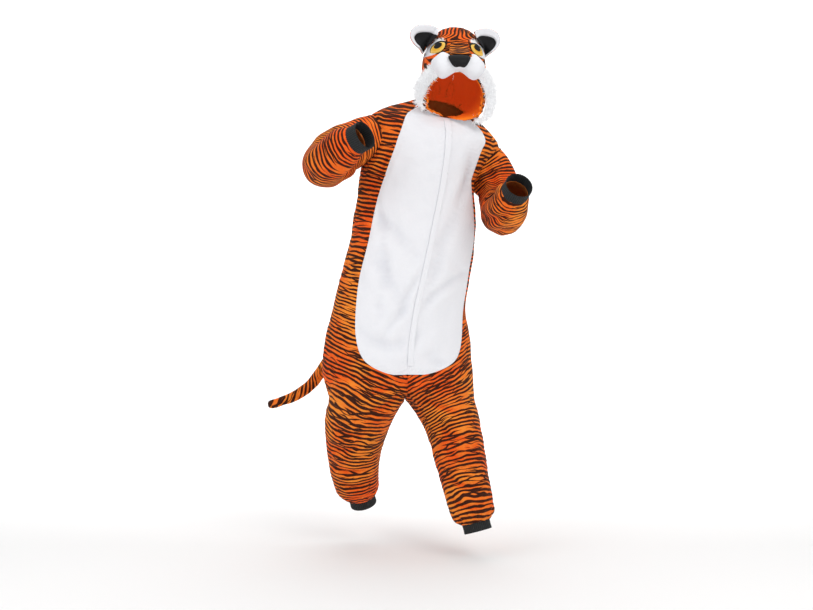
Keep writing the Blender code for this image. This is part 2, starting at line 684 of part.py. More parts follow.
def build_sleeve(side):
    """One sleeve, set into its armhole, and the rib cuff at its wrist."""
    rings, line, along, across, beside = sleeve_rings(side)
    middle = rings[0].mean(axis=0)
    inward = unit(middle - rings[0])
    rings[0] = rings[0] + inward * (SEAM * 2) + along[0] * (PLUSH * 0.2)
    inner = rings - ring_normals(rings) * PLUSH
    inner[0] = rings[0] + inward * PLUSH
    walled("sleeve_" + side, rings, inner, grid_faces(*rings.shape[:2], ring=True), "tiger")
    build_cuff("wrist_cuff_" + side, line[-1, :3], along[-1], across[-1],
               WRIST_CUFF_RADIUS, WRIST_CUFF_LENGTH)


def build_cuff(name, start, along, across, radius, length):
    """A rib cuff: a short tube with a slight waist, from the end of a sleeve or leg."""
    beside = np.cross(along, across)
    angles = np.linspace(0, 2 * np.pi, CUFF_COLUMNS, endpoint=False)
    circle = np.cos(angles)[:, None] * across + np.sin(angles)[:, None] * beside
    outer, inner = [], []
    for share in np.linspace(0.0, 1.0, CUFF_ROWS):
        place = start + along * (SEAM + length * share)
        waist = radius - CUFF_WAIST * math.sin(math.pi * share)
        outer.append(place + circle * waist)
        inner.append(place + circle * (waist - RIB))
    faces = grid_faces(CUFF_ROWS, CUFF_COLUMNS, ring=True)
    walled(name, np.array(outer), np.array(inner), faces, "rib")


def build_ankle_cuff(side):
    """The rib cuff below one leg's gathered hem."""
    row = oval_at(side, np.array(HEM[side]))
    across, _, up = frame(row[3], row[4], row[5])
    build_cuff("ankle_cuff_" + side, row[:3], -up, across, ANKLE_CUFF_RADIUS, ANKLE_CUFF_LENGTH)


def head_axes():
    """Across, forward and up axes of the hood."""
    return frame(np.array(HEAD_YAW), np.array(HEAD_ROLL), np.array(HEAD_PITCH))


def to_world(local):
    """Points of the hood's own frame in the world."""
    across, forward, up = head_axes()
    return (np.array(HEAD_MIDDLE) + local[..., 0:1] * across
            + local[..., 1:2] * forward + local[..., 2:3] * up)


def to_head(world):
    """World points in the hood's own frame."""
    across, forward, up = head_axes()
    spread = world - np.array(HEAD_MIDDLE)
    return np.stack([spread @ across, spread @ forward, spread @ up], axis=-1)


def hood_point(direction):
    """Outer surface of the hood along directions of its own frame."""
    direction = unit(direction)
    deep = np.where(direction[..., 1] >= 0, HOOD_FRONT, HOOD_BACK)
    high = np.where(direction[..., 2] >= 0, HOOD_TOP, HOOD_BOTTOM)
    size = (np.abs(direction[..., 0] / HOOD_HALF_WIDTH) ** HOOD_ROUNDNESS
            + np.abs(direction[..., 1] / deep) ** HOOD_ROUNDNESS
            + np.abs(direction[..., 2] / high) ** HOOD_ROUNDNESS)
    local = direction * (size ** (-1 / HOOD_ROUNDNESS))[..., None]
    flare = 1 + CHEEK_FLARE * smooth_step(-local[..., 2], 0.0, CHEEK_DROP)
    return local * np.stack([flare, np.ones_like(flare), np.ones_like(flare)], axis=-1)


def hood_lifted(direction, lift):
    """Hood surface points moved along their normals by lift."""
    direction = unit(direction)
    aside = unit(np.cross(direction, np.array([0.31, 0.17, 0.93])))
    above = np.cross(direction, aside)
    size = 0.004
    one = hood_point(direction + aside * size) - hood_point(direction - aside * size)
    two = hood_point(direction + above * size) - hood_point(direction - above * size)
    up = unit(np.cross(one, two))
    up = up * np.sign((up * direction).sum(-1, keepdims=True))
    return hood_point(direction) + up * np.asarray(lift)[..., None]


def neck_ring(sign, angle):
    """Points of the neck seam in the hood's frame, at angles from the centre front."""
    row = flow(TRUNK, np.array(0.0))
    across, forward, _ = frame(row[3], row[4], row[5])
    turn = np.radians(angle)
    wide = row[6] if sign < 0 else row[7]
    deep = np.where(np.cos(turn) >= 0, row[8], row[9])
    world = (row[:3] + (sign * wide * np.sin(turn))[..., None] * across
             + (deep * np.cos(turn))[..., None] * forward)
    return to_head(world)


def neck_distance(guide):
    """How far points of the hood's frame lie from the neck seam."""
    turns = np.linspace(0.0, 180.0, 61)
    ring = np.vstack([neck_ring(-1.0, turns), neck_ring(1.0, turns)])
    away = np.linalg.norm(guide[..., None, :] - ring, axis=-1)
    return away.min(axis=-1)


def hood_surface(guide, lift):
    """Guide points brought onto the hood, those near the neck seam held where they are."""
    away = neck_distance(guide)
    hold = 1 - smooth_step(away, 0.0, NECK_HOLD)
    hold = np.stack([hold, hold, 1 - smooth_step(away, 0.0, NECK_HOLD_HEIGHT)], axis=-1)
    lift = np.broadcast_to(np.asarray(lift, dtype=float), guide.shape[:-1])
    held = guide + unit(guide * np.array([1.0, 1.0, 0.25])) * lift[..., None]
    return hood_lifted(guide, lift) * (1 - hold) + held * hold


def opening_edge(sign, share):
    """Edge of the face opening in the hood's frame, from the chin to the forehead."""
    start = neck_ring(sign, np.array(NECK_FRONT_ANGLE))
    start = start + np.array([0.0, 0.0, SEAM * 2])
    top_turn = math.asin(STRIP_HALF_WIDTH / OPENING_WIDTH)
    low_turn = math.pi - math.asin(min(0.99, abs(start[0]) / OPENING_WIDTH))
    turn = low_turn + (top_turn - low_turn) * share
    top = OPENING_MIDDLE_Z + OPENING_HALF_HEIGHT
    x = sign * OPENING_WIDTH * np.sin(turn)
    z = OPENING_MIDDLE_Z + OPENING_HALF_HEIGHT * np.cos(turn)
    low = OPENING_MIDDLE_Z + OPENING_HALF_HEIGHT * math.cos(low_turn)
    chin = ((1 - share) ** 2)[..., None]
    risen = smooth_step(z, OPENING_MIDDLE_Z, top)
    forward = HOOD_FRONT * (OPENING_CHIN_FORWARD + OPENING_BROW_FORWARD * risen)
    edge = np.stack([x, forward, z], axis=-1)
    first = np.array([sign * abs(start[0]), HOOD_FRONT * OPENING_CHIN_FORWARD, low])
    return edge + (start - first) * chin


def crown_edge(sign, share):
    """Edge of the crown strip, from the forehead over the top and down to the neck seam."""
    share = np.asarray(share, dtype=float)
    turn = np.radians(FOREHEAD_ANGLE + (NAPE_ANGLE - FOREHEAD_ANGLE) * share)
    half = STRIP_HALF_WIDTH + (STRIP_HALF_WIDTH_NAPE - STRIP_HALF_WIDTH) * smooth_step(share, 0.5, 1.0)
    deep = np.where(np.cos(turn) >= 0, HOOD_FRONT, HOOD_BACK)
    guide = np.stack([sign * half, deep * np.cos(turn), HOOD_TOP * np.sin(turn)], axis=-1)
    guide = hood_point(guide)
    nape = neck_ring(sign, np.array(180.0 - (180.0 - NECK_BACK_ANGLE) * 0.9))
    nape = nape + np.array([0.0, 0.0, SEAM * 2])
    pull = (smooth_step(share, NAPE_START, 1.0) ** 1.5)[..., None]
    return guide * (1 - pull) + nape * pull


def hood_side_grid(sign):
    """Guide points of one hood side: rows from neck seam to crown, columns from front to nape."""
    rise = np.linspace(0.0, 1.0, HOOD_ROWS)[:, None]
    back = (np.linspace(0.0, 1.0, HOOD_COLUMNS) ** 1.1)[None, :]
    neck = neck_ring(sign, NECK_FRONT_ANGLE + (NECK_BACK_ANGLE - NECK_FRONT_ANGLE) * back[0])
    neck = neck + np.array([0.0, 0.0, SEAM * 2])
    crown = crown_edge(sign, back[0] * 0.965)
    front = opening_edge(sign, rise[:, 0])
    front = front + (crown[0] - front[-1]) * rise ** 2
    nape = neck[-1] + (crown[-1] - neck[-1]) * rise
    rise, back = rise[..., None], back[..., None]
    corners = ((1 - rise) * (1 - back) * neck[0] + (1 - rise) * back * neck[-1]
               + rise * (1 - back) * crown[0] + rise * back * crown[-1])
    return ((1 - rise) * neck[None] + rise * crown[None]
            + (1 - back) * front[:, None] + back * nape[:, None] - corners)


def build_hood():
    """The outer hood and its lining: two sides and a crown strip each."""
    layers = (("hood", "tiger", 0.0, PLUSH), ("hood_lining", "lining", -PLUSH - LAY, LINING))
    for prefix, finish, top, thick in layers:
        for side, sign in SIDES.items():
            guide = hood_side_grid(sign)
            outer = to_world(hood_surface(guide, top))
            inner = to_world(hood_surface(guide, top - thick))
            label = prefix + ("_side_" if prefix == "hood" else "_") + side
            walled(label, outer, inner, grid_faces(HOOD_ROWS, HOOD_COLUMNS), finish)
        share = (np.linspace(0.0, 1.0, HOOD_COLUMNS) ** 1.1) * 0.965
        share = np.append(share, 1.0)
        left = crown_edge(1.0, share)
        right = crown_edge(-1.0, share)
        width = np.linalg.norm(left - right, axis=-1)
        steps = np.linspace(0.0, 1.0, CROWN_COLUMNS)[None, :]
        inset = (SEAM * 2 / width)[:, None]
        steps = (inset + steps * (1 - 2 * inset))[..., None]
        guide = right[:, None] * (1 - steps) + left[:, None] * steps
        outer = to_world(hood_surface(guide, top))
        inner = to_world(hood_surface(guide, top - thick))
        walled(prefix + "_crown", outer, inner, grid_faces(len(share), CROWN_COLUMNS), finish)


def hood_side_edge(sign, share):
    """The front edge of one hood side, between its rows."""
    guide = hood_side_grid(sign)[:, 0]
    rise = np.linspace(0.0, 1.0, HOOD_ROWS)
    return np.stack([np.interp(share, rise, guide[:, k]) for k in range(3)], axis=-1)


def opening_path(count, start):
    """Guide points along the whole opening, from one side of the chin over the forehead."""
    share = np.linspace(start, 1.0, count)
    left = hood_side_edge(1.0, share)
    right = hood_side_edge(-1.0, share)
    over = np.linspace(left[-1], right[-1], 5)[1:-1]
    return np.vstack([left, over, right[::-1]])


def evenly(path, count):
    """A path read again at even spacing."""
    gaps = np.linalg.norm(np.diff(path, axis=0), axis=1)
    keys = np.concatenate([[0.0], np.cumsum(gaps)])
    at = np.linspace(0.0, keys[-1], count)
    return np.stack([np.interp(at, keys, path[:, k]) for k in range(3)], axis=-1)


def build_trim():
    """The fur round the face opening."""
    path = evenly(opening_path(24, TRIM_START), TRIM_STEPS)
    ahead = unit(np.gradient(path, axis=0))
    outward = unit(np.cross(ahead, unit(path)))
    outward = outward * np.sign((outward * np.array([0.0, -1.0, 0.0])).sum(-1, keepdims=True))
    share = np.linspace(0.0, 1.0, TRIM_STEPS)
    inside = np.clip(share, TRIM_END_SHARE, 1 - TRIM_END_SHARE)
    ends = np.sqrt(np.clip(np.sin(np.pi * inside) * TRIM_END_RISE, 0.0, 1.0))
    tuft = 1 + TRIM_TUFT_DEPTH * np.sin(2 * np.pi * TRIM_TUFTS * share)
    spread = np.cos(np.linspace(np.pi, 0.0, TRIM_ARC))
    rings = []
    for i in range(TRIM_STEPS):
        across = spread * TRIM_HALF_WIDTH * tuft[i] * ends[i]
        place = path[i] + outward[i] * (across + TRIM_HALF_WIDTH - TRIM_OVERHANG)[:, None]
        height = TRIM_HEIGHT * tuft[i] * ends[i] * np.sqrt(np.clip(1 - spread ** 2, 0.0, 1.0))
        top = hood_surface(place, TRIM_SEAT + TRIM_EDGE + height)
        bottom = hood_surface(place[1:-1][::-1], TRIM_SEAT)
        rings.append(np.vstack([top, bottom]))
    capped_tube("fur_trim", to_world(np.array(rings)), "white")


def muzzle_loop(u, count, sweep=None):
    """Outline of the muzzle at a place across it, in forward and up."""
    width = math.sqrt(max(0.0, 1 - abs(u) ** 2.6))
    lobe = math.exp(-((abs(u) - MUZZLE_LOBE_PLACE) / 0.34) ** 2)
    notch = MUZZLE_ARCH * math.exp(-(u / 0.20) ** 2)
    low = MUZZLE_LOBE_BOTTOM * lobe + MUZZLE_END_Z * (1 - lobe)
    middle_z = (MUZZLE_TOP + low) / 2 + MUZZLE_END_RISE * abs(u) ** 4
    half_z = (MUZZLE_TOP - low) / 2 * (0.20 + 0.80 * width)
    front = MUZZLE_BACK + (MUZZLE_FORWARD - MUZZLE_BACK) * (0.16 + 0.84 * width)
    turn = np.linspace(0, 2 * np.pi, count, endpoint=False) if sweep is None else sweep
    middle_f = (front + MUZZLE_BACK) / 2
    half_f = (front - MUZZLE_BACK) / 2
    forward = middle_f + half_f * np.cos(turn)
    up = middle_z + half_z * np.sin(turn) + notch * np.clip(-np.sin(turn), 0.0, 1.0)
    return forward, up


def hood_front(x, z, lift=0.0):
    """How far forward the hood, or a layer lifted from it, lies at a place across and up."""
    flare = 1 + CHEEK_FLARE * smooth_step(-z, 0.0, CHEEK_DROP)
    high = np.where(z >= 0, HOOD_TOP, HOOD_BOTTOM) + lift
    wide = HOOD_HALF_WIDTH * flare + lift
    left = 1 - np.abs(x / wide) ** HOOD_ROUNDNESS - np.abs(z / high) ** HOOD_ROUNDNESS
    return (HOOD_FRONT + lift) * np.clip(left, 0.0, 1.0) ** (1 / HOOD_ROUNDNESS)


def hood_aside(forward, z):
    """How far to the side the hood's surface lies at a place forward and up."""
    left = 1 - np.abs(forward / HOOD_FRONT) ** HOOD_ROUNDNESS - np.abs(z / HOOD_TOP) ** HOOD_ROUNDNESS
    return HOOD_HALF_WIDTH * np.clip(left, 0.0, 1.0) ** (1 / HOOD_ROUNDNESS)


def muzzle_seat(x, z):
    """The furthest back that the muzzle reaches: on the hood above, clear of the fur below."""
    over_fur = 1 - smooth_step(z, MUZZLE_FUR_CLEAR - 0.006, MUZZLE_FUR_CLEAR)
    fur = TRIM_SEAT + TRIM_HEIGHT * (1 + TRIM_TUFT_DEPTH)
    return hood_front(x, z, EYE_SEAT + fur * over_fur) + EYE_SEAT * over_fur


def build_muzzle():
    """The padded muzzle with its two lobes."""
    rings = []
    for u in np.sin(np.linspace(-MUZZLE_SWEEP, MUZZLE_SWEEP, MUZZLE_SECTIONS) * np.pi):
        x = np.full(MUZZLE_POINTS, u * MUZZLE_HALF_WIDTH)
        forward, up = muzzle_loop(u, MUZZLE_POINTS)
        turn = np.linspace(0, 2 * np.pi, MUZZLE_POINTS, endpoint=False)
        forward = np.maximum(forward, muzzle_seat(x, up) + MUZZLE_EDGE * np.clip(np.cos(turn), 0.0, 1.0))
        rings.append(np.stack([x, forward, up], axis=-1))
    capped_tube("muzzle", to_world(np.array(rings)), "white")


def build_nose():
    """The padded nose on the muzzle's upper front."""
    outer, inner = [], []
    down = np.linspace(-1.0, 1.0, NOSE_ROWS)
    for v in np.linspace(-1.0, 1.0, NOSE_COLUMNS):
        u = v * NOSE_HALF_SPAN
        half = NOSE_HALF_TURN * math.sqrt(1 - abs(v) ** 3 * 0.86)
        forward, up = muzzle_loop(u, 0, NOSE_TURN + half * down)
        middle_f, middle_z = MUZZLE_BACK + 0.045, 0.015
        out = unit(np.stack([forward - middle_f, up - middle_z], axis=-1))
        pad = np.sqrt(np.clip((1 - v ** 4) * (1 - down ** 4), 0.0, 1.0))
        for sheet, lift in ((outer, NOSE_EDGE + NOSE_LIFT * pad), (inner, np.full(NOSE_ROWS, NOSE_SEAT))):
            place = np.stack([np.full(NOSE_ROWS, u * MUZZLE_HALF_WIDTH), forward, up], axis=-1)
            place[:, 1:] += out * lift[:, None]
            sheet.append(place)
    faces = grid_faces(NOSE_COLUMNS, NOSE_ROWS)
    walled("nose", to_world(np.array(outer)), to_world(np.array(inner)), faces, "black")


def build_bridge():
    """The padded bridge between the nose and the forehead."""
    v, r = np.meshgrid(np.linspace(-1.0, 1.0, BRIDGE_COLUMNS), np.linspace(0.0, 1.0, BRIDGE_ROWS))
    x = v * BRIDGE_HALF_WIDTH * (1 - 0.15 * r)
    z = BRIDGE_BOTTOM + (BRIDGE_TOP - BRIDGE_BOTTOM) * r
    guide = np.stack([x, hood_front(x, z), z], axis=-1)
    pad = np.sqrt(np.clip((1 - v ** 4) * (1 - (2 * r - 1) ** 4 * 0.98), 0.0, 1.0))
    pad = BRIDGE_HEIGHT * pad * (1 - 0.35 * r) + BRIDGE_EDGE
    outer = to_world(hood_lifted(guide, BRIDGE_SEAT + pad))
    inner = to_world(hood_lifted(guide, np.full(v.shape, BRIDGE_SEAT)))
    walled("nose_bridge", outer, inner, grid_faces(BRIDGE_ROWS, BRIDGE_COLUMNS), "tiger")


def disc_faces(rings, columns):
    """Triangles of a disc: a middle point and rings round it."""
    faces = [(0, 1 + j, 1 + (j + 1) % columns) for j in range(columns)]
    for i in range(rings - 1):
        for j in range(columns):
            k = (j + 1) % columns
            a, b = 1 + i * columns + j, 1 + i * columns + k
            c, d = a + columns, b + columns
            faces += [(a, d, b), (a, c, d)]
    return faces


def disc_shares(rings, columns):
    """Radius share and angle of each point of a disc."""
    radius = [0.0]
    angle = [0.0]
    for i in range(rings):
        for j in range(columns):
            radius.append((i + 1) / rings)
            angle.append(2 * math.pi * j / columns)
    return np.array(radius), np.array(angle)


def build_eyes():
    """The eye pieces laid on each other: surround, iris and pupil."""
    rings, columns = 2, EYE_COLUMNS
    radius, angle = disc_shares(rings, columns)
    for side, sign in SIDES.items():
        lift = EYE_SEAT
        for label, half_x, half_z, raised, thick, finish in EYE_LAYERS:
            x = sign * EYE_X + radius * half_x * np.cos(angle)
            z = EYE_Z + raised + radius * half_z * np.sin(angle)
            x = np.clip(x, -HOOD_HALF_WIDTH * 0.97, HOOD_HALF_WIDTH * 0.97)
            guide = np.stack([x, hood_front(x, z), z], axis=-1)
            bulge = EYE_BULGE * (1 - radius ** 2) if label == "iris" else 0.0
            rise = EYE_BULGE if label == "pupil" else 0.0
            outer = to_world(hood_lifted(guide, np.full(len(x), lift + thick + rise) + bulge))
            inner = to_world(hood_lifted(guide, np.full(len(x), lift + rise)))
            walled("eye_" + label + "_" + side, outer, inner, disc_faces(rings, columns), finish)
            lift += thick + LAY


def ear_plan(side, radius, angle):
    """Points of an ear in the hood's frame at shares of its radius, before it is set on the hood."""
    root = np.clip(-np.cos(angle), 0.0, 1.0) ** 2
    out = radius * EAR_RADIUS * np.cos(angle) * (1 - EAR_ROOT_FLAT * root)
    up = radius * EAR_RADIUS * np.sin(angle)
    cup = EAR_CUP * radius ** 2
    turn = math.radians(EAR_TURN[side])
    x = EAR_MIDDLE_X[side] + out * math.cos(turn) - cup * math.sin(turn)
    forward = cup * math.cos(turn) - out * math.sin(turn) + EAR_FORWARD[side]
    return x, forward, EAR_MIDDLE_Z + up


def ear_shift(side):
    """How far an ear moves aside so that its root stands clear of the hood."""
    x, forward, z = ear_plan(side, *disc_shares(EAR_RINGS, EAR_COLUMNS))
    inside = hood_aside(forward - EAR_THICKNESS, z) + EAR_CLEAR[side] - x
    return max(0.0, float(inside.max()))


def ear_sheet(side, radius, angle, size, lift):
    """Points of an ear's front, moved forward by lift."""
    x, forward, z = ear_plan(side, radius * size, angle)
    turn = math.radians(EAR_TURN[side])
    x = x + ear_shift(side) - lift * math.sin(turn)
    return to_world(np.stack([SIDES[side] * x, forward + lift * math.cos(turn), z], axis=-1))


def build_ears():
    """Each ear: a striped back, a white rim and a black inside."""
    for side in SIDES:
        radius, angle = disc_shares(EAR_RINGS, EAR_COLUMNS)
        faces = disc_faces(EAR_RINGS, EAR_COLUMNS)
        front = ear_sheet(side, radius, angle, 1.0, 0.0)
        back = ear_sheet(side, radius, angle, 1.0, -EAR_THICKNESS)
        walled("ear_back_" + side, front, back, faces, "tiger")
        shares = np.array([EAR_INNER_SHARE + EAR_RIM_GAP, EAR_RIM_MIDDLE, 1.0])
        turns = np.linspace(0, 2 * np.pi, EAR_COLUMNS, endpoint=False)
        radius, angle = np.meshgrid(shares, turns, indexing="ij")
        swell = np.array(EAR_RIM_SWELL)[:, None]
        outer = ear_sheet(side, radius, angle, 1.0, EAR_LAY + swell)
        inner = ear_sheet(side, radius, angle, 1.0, EAR_LAY)
        walled("ear_rim_" + side, outer, inner, grid_faces(3, EAR_COLUMNS, ring=True), "white")
        radius, angle = disc_shares(EAR_RINGS, EAR_COLUMNS)
        outer = ear_sheet(side, radius, angle, EAR_INNER_SHARE, EAR_LAY + EAR_INNER_THICKNESS)
        inner = ear_sheet(side, radius, angle, EAR_INNER_SHARE, EAR_LAY)
        walled("ear_inner_" + side, outer, inner, faces, "black")


def build_tail():
    """The stuffed tail, from the seat of the costume to its round tip."""
    side = "right"
    turn = np.linspace(0, 2 * np.pi, TAIL_POINTS, endpoint=False)
    angle = np.array(TAIL_ROOT_ANGLE)
    drop = np.array(TAIL_ROOT_DROP)
    root = body_point(side, drop, angle)
    middle = oval_at(side, drop)[:3]
    away = unit((root - middle) * np.array([1, 1, 0]))
    start = root + away * TAIL_SEAT
    rows = [(*start, TAIL[0][3])] + TAIL
    line = curve_through(rows, TAIL_RINGS)
    along, across, beside = carried_frames(line[:, :3], np.array([0.0, 0.0, 1.0]))
    rings = []
    for i in range(TAIL_RINGS):
        circle = np.cos(turn)[:, None] * across[i] + np.sin(turn)[:, None] * beside[i]
        rings.append(line[i, :3] + circle * line[i, 3])
    per_degree = np.linalg.norm(body_point(side, drop, angle + 1) - root)
    sideways = unit(np.cross(np.array([0.0, 0.0, 1.0]), away))
    spread = (rings[0] - line[0, :3]) @ sideways
    rise = (rings[0] - line[0, :3])[:, 2]
    turned = np.sign((body_point(side, drop, angle + 1) - root) @ sideways)
    base = body_point(side, drop - rise, angle + turned * spread / per_degree)
    rings[0] = base + away * TAIL_SEAT
    for share, shrink in TAIL_TIP_RINGS:
        radius = line[-1, 3]
        place = line[-1, :3] + along[-1] * radius * share
        circle = np.cos(turn)[:, None] * across[-1] + np.sin(turn)[:, None] * beside[-1]
        rings.append(place + circle * radius * shrink)
    capped_tube("tail", np.array(rings), "tiger", first_middle=start)


def tables_checked():
    """Stop if a table has a row that doesn't match its column names."""
    tables = [
        (TRUNK_COLUMNS, TRUNK),
        (TRUNK_FOLD_COLUMNS, TRUNK_FOLDS),
        (LEG_FOLD_COLUMNS, LEG_FOLDS),
        (TAIL_COLUMNS, TAIL),
    ]
    tables += [(LEG_COLUMNS, LEG[side]) for side in SIDES]
    tables += [(SLEEVE_COLUMNS, SLEEVE[side]) for side in SIDES]
    for columns, rows in tables:
        for row in rows:
            if len(row) != len(columns):
                raise ValueError(f"{row} doesn't have the columns {columns}")


def main():
    """Build every piece of the costume."""
    tables_checked()
    scene_cleared()
    for side in SIDES:
        build_body(side)
        build_sleeve(side)
        build_ankle_cuff(side)
    build_placket()
    build_hood()
    build_trim()
    build_muzzle()
    build_nose()
    build_bridge()
    build_eyes()
    build_ears()
    build_tail()


main()
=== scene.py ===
"""Looks of the worn tiger costume: its cloth, stripes, fur, snout, eyes, ribs and sewing.

Every cloth piece starts as a copy of its wall in the frame, made finer, and gets its folds, its
seams' pull and its pile. Units are metres, the costume faces -Y and +Z is up. Right and left are
the costume's own, as it is worn.
"""
import logging
import math
from dataclasses import dataclass, field
from enum import Enum

import bmesh
import bpy
import numpy as np
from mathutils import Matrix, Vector
from mathutils.bvhtree import BVHTree
from mathutils.kdtree import KDTree


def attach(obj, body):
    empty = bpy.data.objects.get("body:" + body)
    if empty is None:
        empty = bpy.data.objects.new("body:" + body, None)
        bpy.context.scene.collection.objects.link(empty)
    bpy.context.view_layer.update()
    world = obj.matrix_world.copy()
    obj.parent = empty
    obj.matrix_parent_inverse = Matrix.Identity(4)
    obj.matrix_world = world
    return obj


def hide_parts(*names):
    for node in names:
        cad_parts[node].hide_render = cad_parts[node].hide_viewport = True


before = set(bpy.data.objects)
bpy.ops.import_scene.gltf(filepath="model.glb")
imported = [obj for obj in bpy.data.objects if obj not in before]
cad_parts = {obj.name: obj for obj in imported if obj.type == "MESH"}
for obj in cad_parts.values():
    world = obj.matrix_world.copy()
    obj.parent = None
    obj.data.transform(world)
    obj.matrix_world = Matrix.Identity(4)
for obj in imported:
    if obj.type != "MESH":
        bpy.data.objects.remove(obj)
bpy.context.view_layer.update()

ROOT = "root"
SIDES = {"right": -1.0, "left": 1.0}

log = logging.getLogger("costume")

# The hood's own frame: its middle, and its axes turned about Z, as the solids have them
HEAD_MIDDLE = np.array([0.0345, -0.045, 0.083])
HEAD_YAW = math.radians(6.0)
HEAD_ACROSS = np.array([math.cos(HEAD_YAW), math.sin(HEAD_YAW), 0.0])
HEAD_AHEAD = np.array([math.sin(HEAD_YAW), -math.cos(HEAD_YAW), 0.0])
HEAD_UP = np.array([0.0, 0.0, 1.0])


class Finish(Enum):
    """The record's material slots that the pieces take their finish from."""

    TIGER = "tiger_plush"
    WHITE = "white_plush"
    FUR = "white_fur"
    RIB = "black_rib"
    BLACK = "black_plush"
    LINING = "orange_lining"
    AMBER = "amber_felt"


class Face(Enum):
    """Which side of the costume a fold lies on, seen along Y."""

    FRONT = -1.0
    BACK = 1.0


def to_head(places: np.ndarray) -> np.ndarray:
    """World points in the hood's frame: to the costume's left, forward and up.

    Args:
        places: Points in the world, one a row.

    Returns:
        The same points seen from the hood's middle.
    """
    spread = places - HEAD_MIDDLE
    return np.stack([spread @ HEAD_ACROSS, spread @ HEAD_AHEAD, spread[:, 2]], axis=-1)


def from_head(across: np.ndarray, ahead: np.ndarray, up: np.ndarray) -> np.ndarray:
    """World points of offsets from the hood's middle, the inverse of to_head.

    Args:
        across: Offsets to the costume's left.
        ahead: Offsets forwards.
        up: Offsets upwards.

    Returns:
        The points, laid as the offsets are.
    """
    beside = across[..., None] * HEAD_ACROSS
    forward = ahead[..., None] * HEAD_AHEAD
    return HEAD_MIDDLE + beside + forward + up[..., None] * HEAD_UP


def smooth_step(value: np.ndarray, low: float, high: float) -> np.ndarray:
    """0 below low, 1 above high and a soft S between them."""
    share = np.clip((value - low) / (high - low), 0.0, 1.0)
    return share * share * (3 - 2 * share)


@dataclass(frozen=True)
class MiddleLine:
    """The middle of a limb or of the trunk, which tells how far along a point lies."""

    places: tuple
    softness: float = 0.05
    steps: int = 60

    def sampled(self) -> tuple:
        """Evenly laid points on the line and their distances along it."""
        rough = np.array(self.places, dtype=float)
        away = np.concatenate([[0.0], np.cumsum(np.linalg.norm(np.diff(rough, axis=0), axis=1))])
        along = np.linspace(0.0, away[-1], self.steps)
        line = np.stack([np.interp(along, away, rough[:, i]) for i in range(3)], axis=-1)
        return line, along

    def measure(self, places: np.ndarray) -> tuple:
        """How far along the line each point lies, and its way straight out from the line.

        Args:
            places: Points in the world, one a row.

        Returns:
            Distance along the line and unit vector outwards, for each point.
        """
        line, along = self.sampled()
        square = ((places[:, None, :] - line[None]) ** 2).sum(-1)
        weight = np.exp(-(square - square.min(axis=1, keepdims=True)) / (2 * self.softness ** 2))
        weight /= weight.sum(axis=1, keepdims=True)
        out = places - weight @ line
        return weight @ along, out / np.linalg.norm(out, axis=1, keepdims=True)


TRUNK_TOP = ((0.012, -0.004, 0.08), (-0.008, 0.009, -0.02), (-0.045, 0.030, -0.228), (-0.094, 0.050, -0.446),
             (-0.138, 0.070, -0.68))
BODY_LINES = {
    "right": MiddleLine(TRUNK_TOP + ((-0.205, 0.085, -0.86), (-0.268, 0.100, -1.00), (-0.292, 0.150, -1.135),
                                     (-0.285, 0.200, -1.264), (-0.269, 0.212, -1.32),
                                     (-0.262, 0.216, -1.42))),
    "left": MiddleLine(TRUNK_TOP + ((-0.070, 0.090, -0.86), (0.015, 0.102, -1.00), (0.056, 0.052, -1.12),
                                    (0.089, -0.014, -1.275), (0.108, -0.031, -1.36), (0.112, -0.036, -1.46))),
}
SLEEVE_LINES = {
    "right": MiddleLine(((-0.10, 0.02, -0.11), (-0.24, -0.03, -0.13), (-0.320, -0.078, -0.155),
                         (-0.367, -0.130, -0.199), (-0.373, -0.185, -0.210), (-0.342, -0.238, -0.194),
                         (-0.268, -0.300, -0.151), (-0.205, -0.345, -0.116)), 0.035),
    "left": MiddleLine(((0.05, 0.06, -0.10), (0.150, 0.075, -0.17), (0.178, 0.070, -0.236),
                        (0.194, 0.042, -0.300), (0.195, -0.020, -0.349), (0.200, -0.092, -0.344),
                        (0.220, -0.186, -0.296), (0.240, -0.262, -0.252)), 0.035),
}
TAIL_LINE = MiddleLine(((-0.16, 0.20, -0.72), (-0.26, 0.25, -0.84), (-0.36, 0.27, -0.92),
                        (-0.46, 0.27, -0.96), (-0.56, 0.26, -0.90)), 0.05)


@dataclass(frozen=True)
class Fold:
    """One soft fold of the cloth, placed as it is seen along Y."""

    name: str
    face: Face
    path: tuple
    width: float
    height: float
    steps: int = 17
    ridge_away: float = 2.2
    ridge_share: float = 0.35

    def rise(self, places: np.ndarray, out: np.ndarray) -> np.ndarray:
        """How far the fold lifts the cloth at each point; a trough is negative.

        Args:
            places: Points in the world.
            out: Unit vectors outwards at the points.

        Returns:
            The lift in metres, one a point.
        """
        (ax, az), (bx, bz), (cx, cz) = self.path
        share = np.linspace(0.0, 1.0, self.steps)[:, None]
        start, bend, end = np.array([ax, az]), np.array([bx, bz]), np.array([cx, cz])
        control = 2 * bend - (start + end) / 2
        line = start * (1 - share) ** 2 + control * 2 * share * (1 - share) + end * share ** 2
        flat = places[:, [0, 2]]
        square = ((flat[:, None, :] - line[None]) ** 2).sum(-1)
        nearest = square.argmin(axis=1)
        taper = np.sin(np.pi * np.clip(share[nearest, 0], 0.04, 0.96)) ** 0.7
        fall = np.exp(-square.min(axis=1) / (2 * self.width ** 2))
        beside = np.sqrt(square.min(axis=1)) - self.ridge_away * self.width
        ridge = np.exp(-beside ** 2 / (2 * self.width ** 2))
        facing = smooth_step(out[:, 1] * self.face.value, -0.25, 0.25)
        return self.height * taper * facing * (fall - self.ridge_share * ridge)


